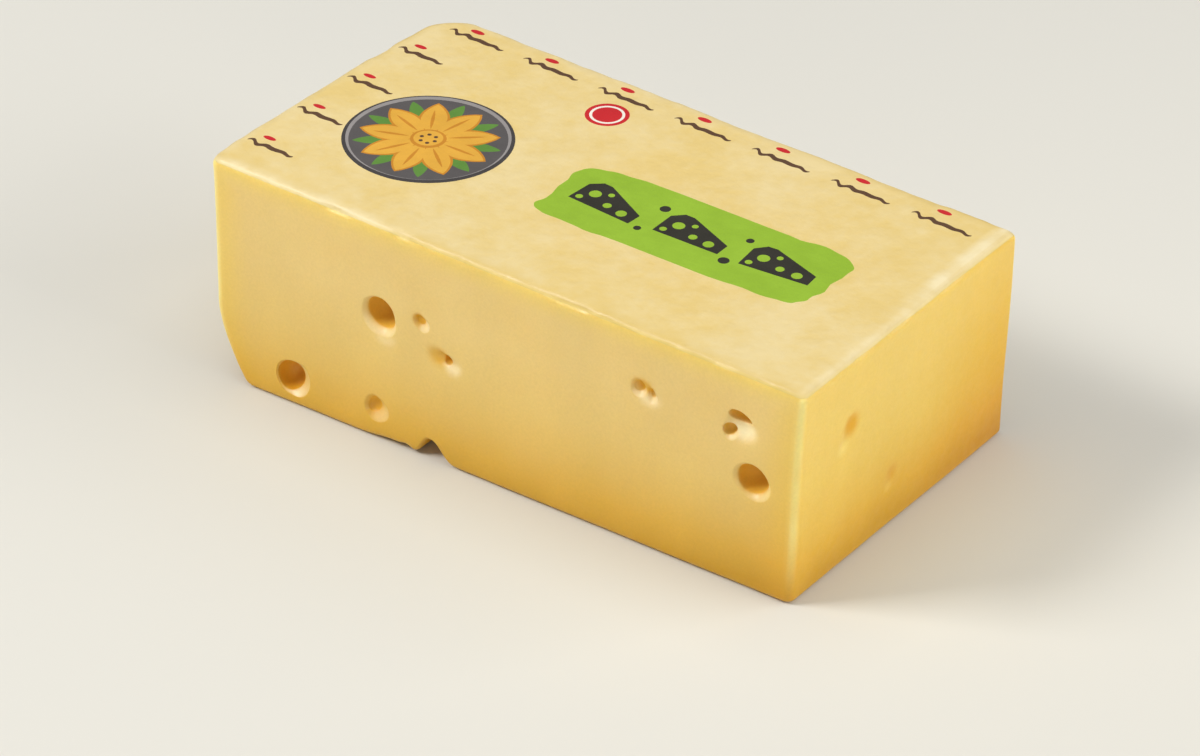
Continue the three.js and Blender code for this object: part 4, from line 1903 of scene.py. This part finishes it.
FRONT_EYES = (
    Eye(
        (-59.9, 62.1), (7.4, 7.9), 15.0, lip=0.8, lean=(-1.6, 1.2), bulge=0.14, tilt=14.0,
        aprons=(Apron(-88.0, 2.4, 2.2, 1.0, pale=0.7), Apron(180.0, 1.6, 1.0, 2.0, pale=0.0)),
    ),
    Eye((-39.1, 66.8), (2.0, 2.1), 1.6, lip=1.3, aprons=(Apron(-32.0, 2.6, 0.5, 1.6, 0.5),), chamfer=2.0),
    Eye((-24.8, 53.0), (2.3, 2.5), 5.0, lip=0.5, aprons=(Apron(171.0, 3.4, 1.2, 2.0, pale=0.0),)),
    Eye(
        (-111.2, 13.7), (9.4, 6.6), 11.0, lip=0.7, lean=(-0.2, 0.2), bulge=0.14, tilt=34.0, chamfer=2.4,
        aprons=(Apron(-18.0, 4.0, 1.4, 1.3, pale=0.3), Apron(-78.0, 0.0, 0.8, 2.5, pale=0.75)),
    ),
    Eye(
        (-64.2, 15.8), (4.4, 3.1), 3.4, lip=1.3, tilt=67.0, chamfer=1.9,
        aprons=(Apron(-32.0, 4.8, 1.2, 1.2, pale=0.25), Apron(-62.0, 0.0, 0.2, 3.0, pale=0.15)),
    ),
    Eye(
        (71.1, 78.0), (2.3, 2.9), 2.2, lip=0.9, tilt=-15.0, chamfer=2.0,
        aprons=(Apron(-70.0, 1.6, 0.8, 1.6, pale=0.6),),
    ),
    Eye((77.5, 76.6), (1.2, 2.4), 2.0, lip=0.7, aprons=(Apron(-60.0, 1.9, 0.8, 1.6, 0.6),), chamfer=2.0),
    Eye((120.6, 82.8), (5.4, 3.3), 7.6, lip=0.4, lean=(-0.6, 1.0), bulge=0.12, tilt=-13.0),
    Eye(
        (115.7, 75.1), (2.7, 3.1), 5.0, lip=0.4, lean=(-0.8, 0.8), bulge=0.1,
        aprons=(Apron(-45.0, 1.6, 1.6, pale=0.5),),
    ),
    Eye(
        (128.2, 55.3), (7.3, 7.6), 14.0, lip=0.8, lean=(-1.6, 1.2), bulge=0.12, tilt=-8.0,
        aprons=(Apron(-45.0, 2.1, 2.2, 1.5, pale=0.5), Apron(180.0, 1.2, 0.8, 2.0, pale=0.0)),
    ),
)
BACK_EYES = (
    Eye(
        (-96.0, 68.0), (6.4, 7.0), 12.0, lip=0.9, lean=(1.2, 1.2), bulge=0.14, tilt=8.0,
        aprons=(Apron(-100.0, 3.4, 2.8),),
    ),
    Eye((-70.0, 27.0), (6.6, 6.2), 8.0, lip=1.5, lean=(1.6, 1.6), aprons=(Apron(-130.0, 3.2, 3.2, 1.2),)),
    Eye(
        (-22.0, 60.0), (4.9, 5.4), 9.0, lip=0.9, lean=(1.0, 1.0), bulge=0.1,
        aprons=(Apron(-100.0, 2.2, 1.8),),
    ),
    Eye((12.0, 83.0), (2.5, 2.3), 4.0, lip=0.7, lean=(0.6, 0.7), aprons=(Apron(-110.0, 2.0, 1.2),)),
    Eye(
        (29.5, 31.5), (7.4, 7.4), 15.0, lip=0.9, lean=(1.4, 1.4), bulge=0.16, tilt=-12.0,
        aprons=(Apron(-105.0, 3.6, 3.0),),
    ),
    Eye((46.0, 47.5), (2.9, 2.6), 5.0, lip=0.6, lean=(0.6, 0.8), bulge=0.1),
    Eye(
        (88.0, 63.0), (7.2, 6.6), 13.0, lip=0.9, lean=(1.4, 1.2), bulge=0.14,
        aprons=(Apron(-100.0, 3.2, 2.8),),
    ),
    Eye((112.0, 24.0), (3.8, 4.0), 5.0, lip=1.2, lean=(0.9, 0.9), aprons=(Apron(-130.0, 4.2, 2.6, 1.2),)),
)
FRONT_DENTS = (
    Dent((-57.6, 51.8), (7.5, 5.6), 0.6, pale=0.4),
    Dent((-39.4, 67.2), (4.6, 4.6), 0.3, dent_shade=1.0),
    Dent((-28.8, 53.6), (8.2, 6.4), 1.2, tilt=-9.0, dent_shade=0.7),
    Dent((-21.8, 51.6), (6.4, 6.2), 1.2, tilt=-10.0, pale=0.7),
    Dent((73.8, 78.6), (7.4, 5.6), 0.7, tilt=-12.0, dent_shade=1.0),
    Dent((76.6, 75.0), (7.8, 6.4), 1.2, tilt=-6.0, pale=0.5),
    Dent((122.0, 78.2), (9.2, 7.9), 3.6, tilt=-8.0, pale=0.95),
)
RIGHT_END_DENTS = (
    Dent((-42.0, 71.8), (7.4, 7.8), 0.6, dent_shade=1.0),
    Dent((-46.4, 63.4), (4.8, 6.4), 0.8, pale=0.35),
    Dent((-8.6, 28.7), (5.0, 5.6), 0.3, dent_shade=0.6),
    Dent((-9.8, 22.8), (3.6, 4.6), 0.5, pale=0.3),
)
LEFT_END_DENTS = (
    Dent((34.0, 66.0), (7.0, 8.2), 2.6, dent_shade=0.9),
    Dent((-24.0, 38.0), (4.6, 4.4), 1.4, dent_shade=0.7),
)


def main() -> None:
    """Builds the studio, the cheese and the film, in order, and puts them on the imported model."""
    logging.basicConfig(level=logging.INFO, format="%(name)s: %(message)s")
    form = BlockForm()
    Studio().build(form.middle)

    block = CheeseBlock(
        form,
        eyes={Wall.BACK: BACK_EYES, Wall.FRONT: FRONT_EYES},
        dents={Wall.FRONT: FRONT_DENTS, Wall.RIGHT: RIGHT_END_DENTS, Wall.LEFT: LEFT_END_DENTS},
    )
    cheese = block.build()
    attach(cheese, "root")
    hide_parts("cheese_block")

    film = PrintedFilm(form, block).build()
    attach(film, "root")
    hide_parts("printed_film")

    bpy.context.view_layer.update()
    log.info("sizes written")


if __name__ == "__main__":
    main()
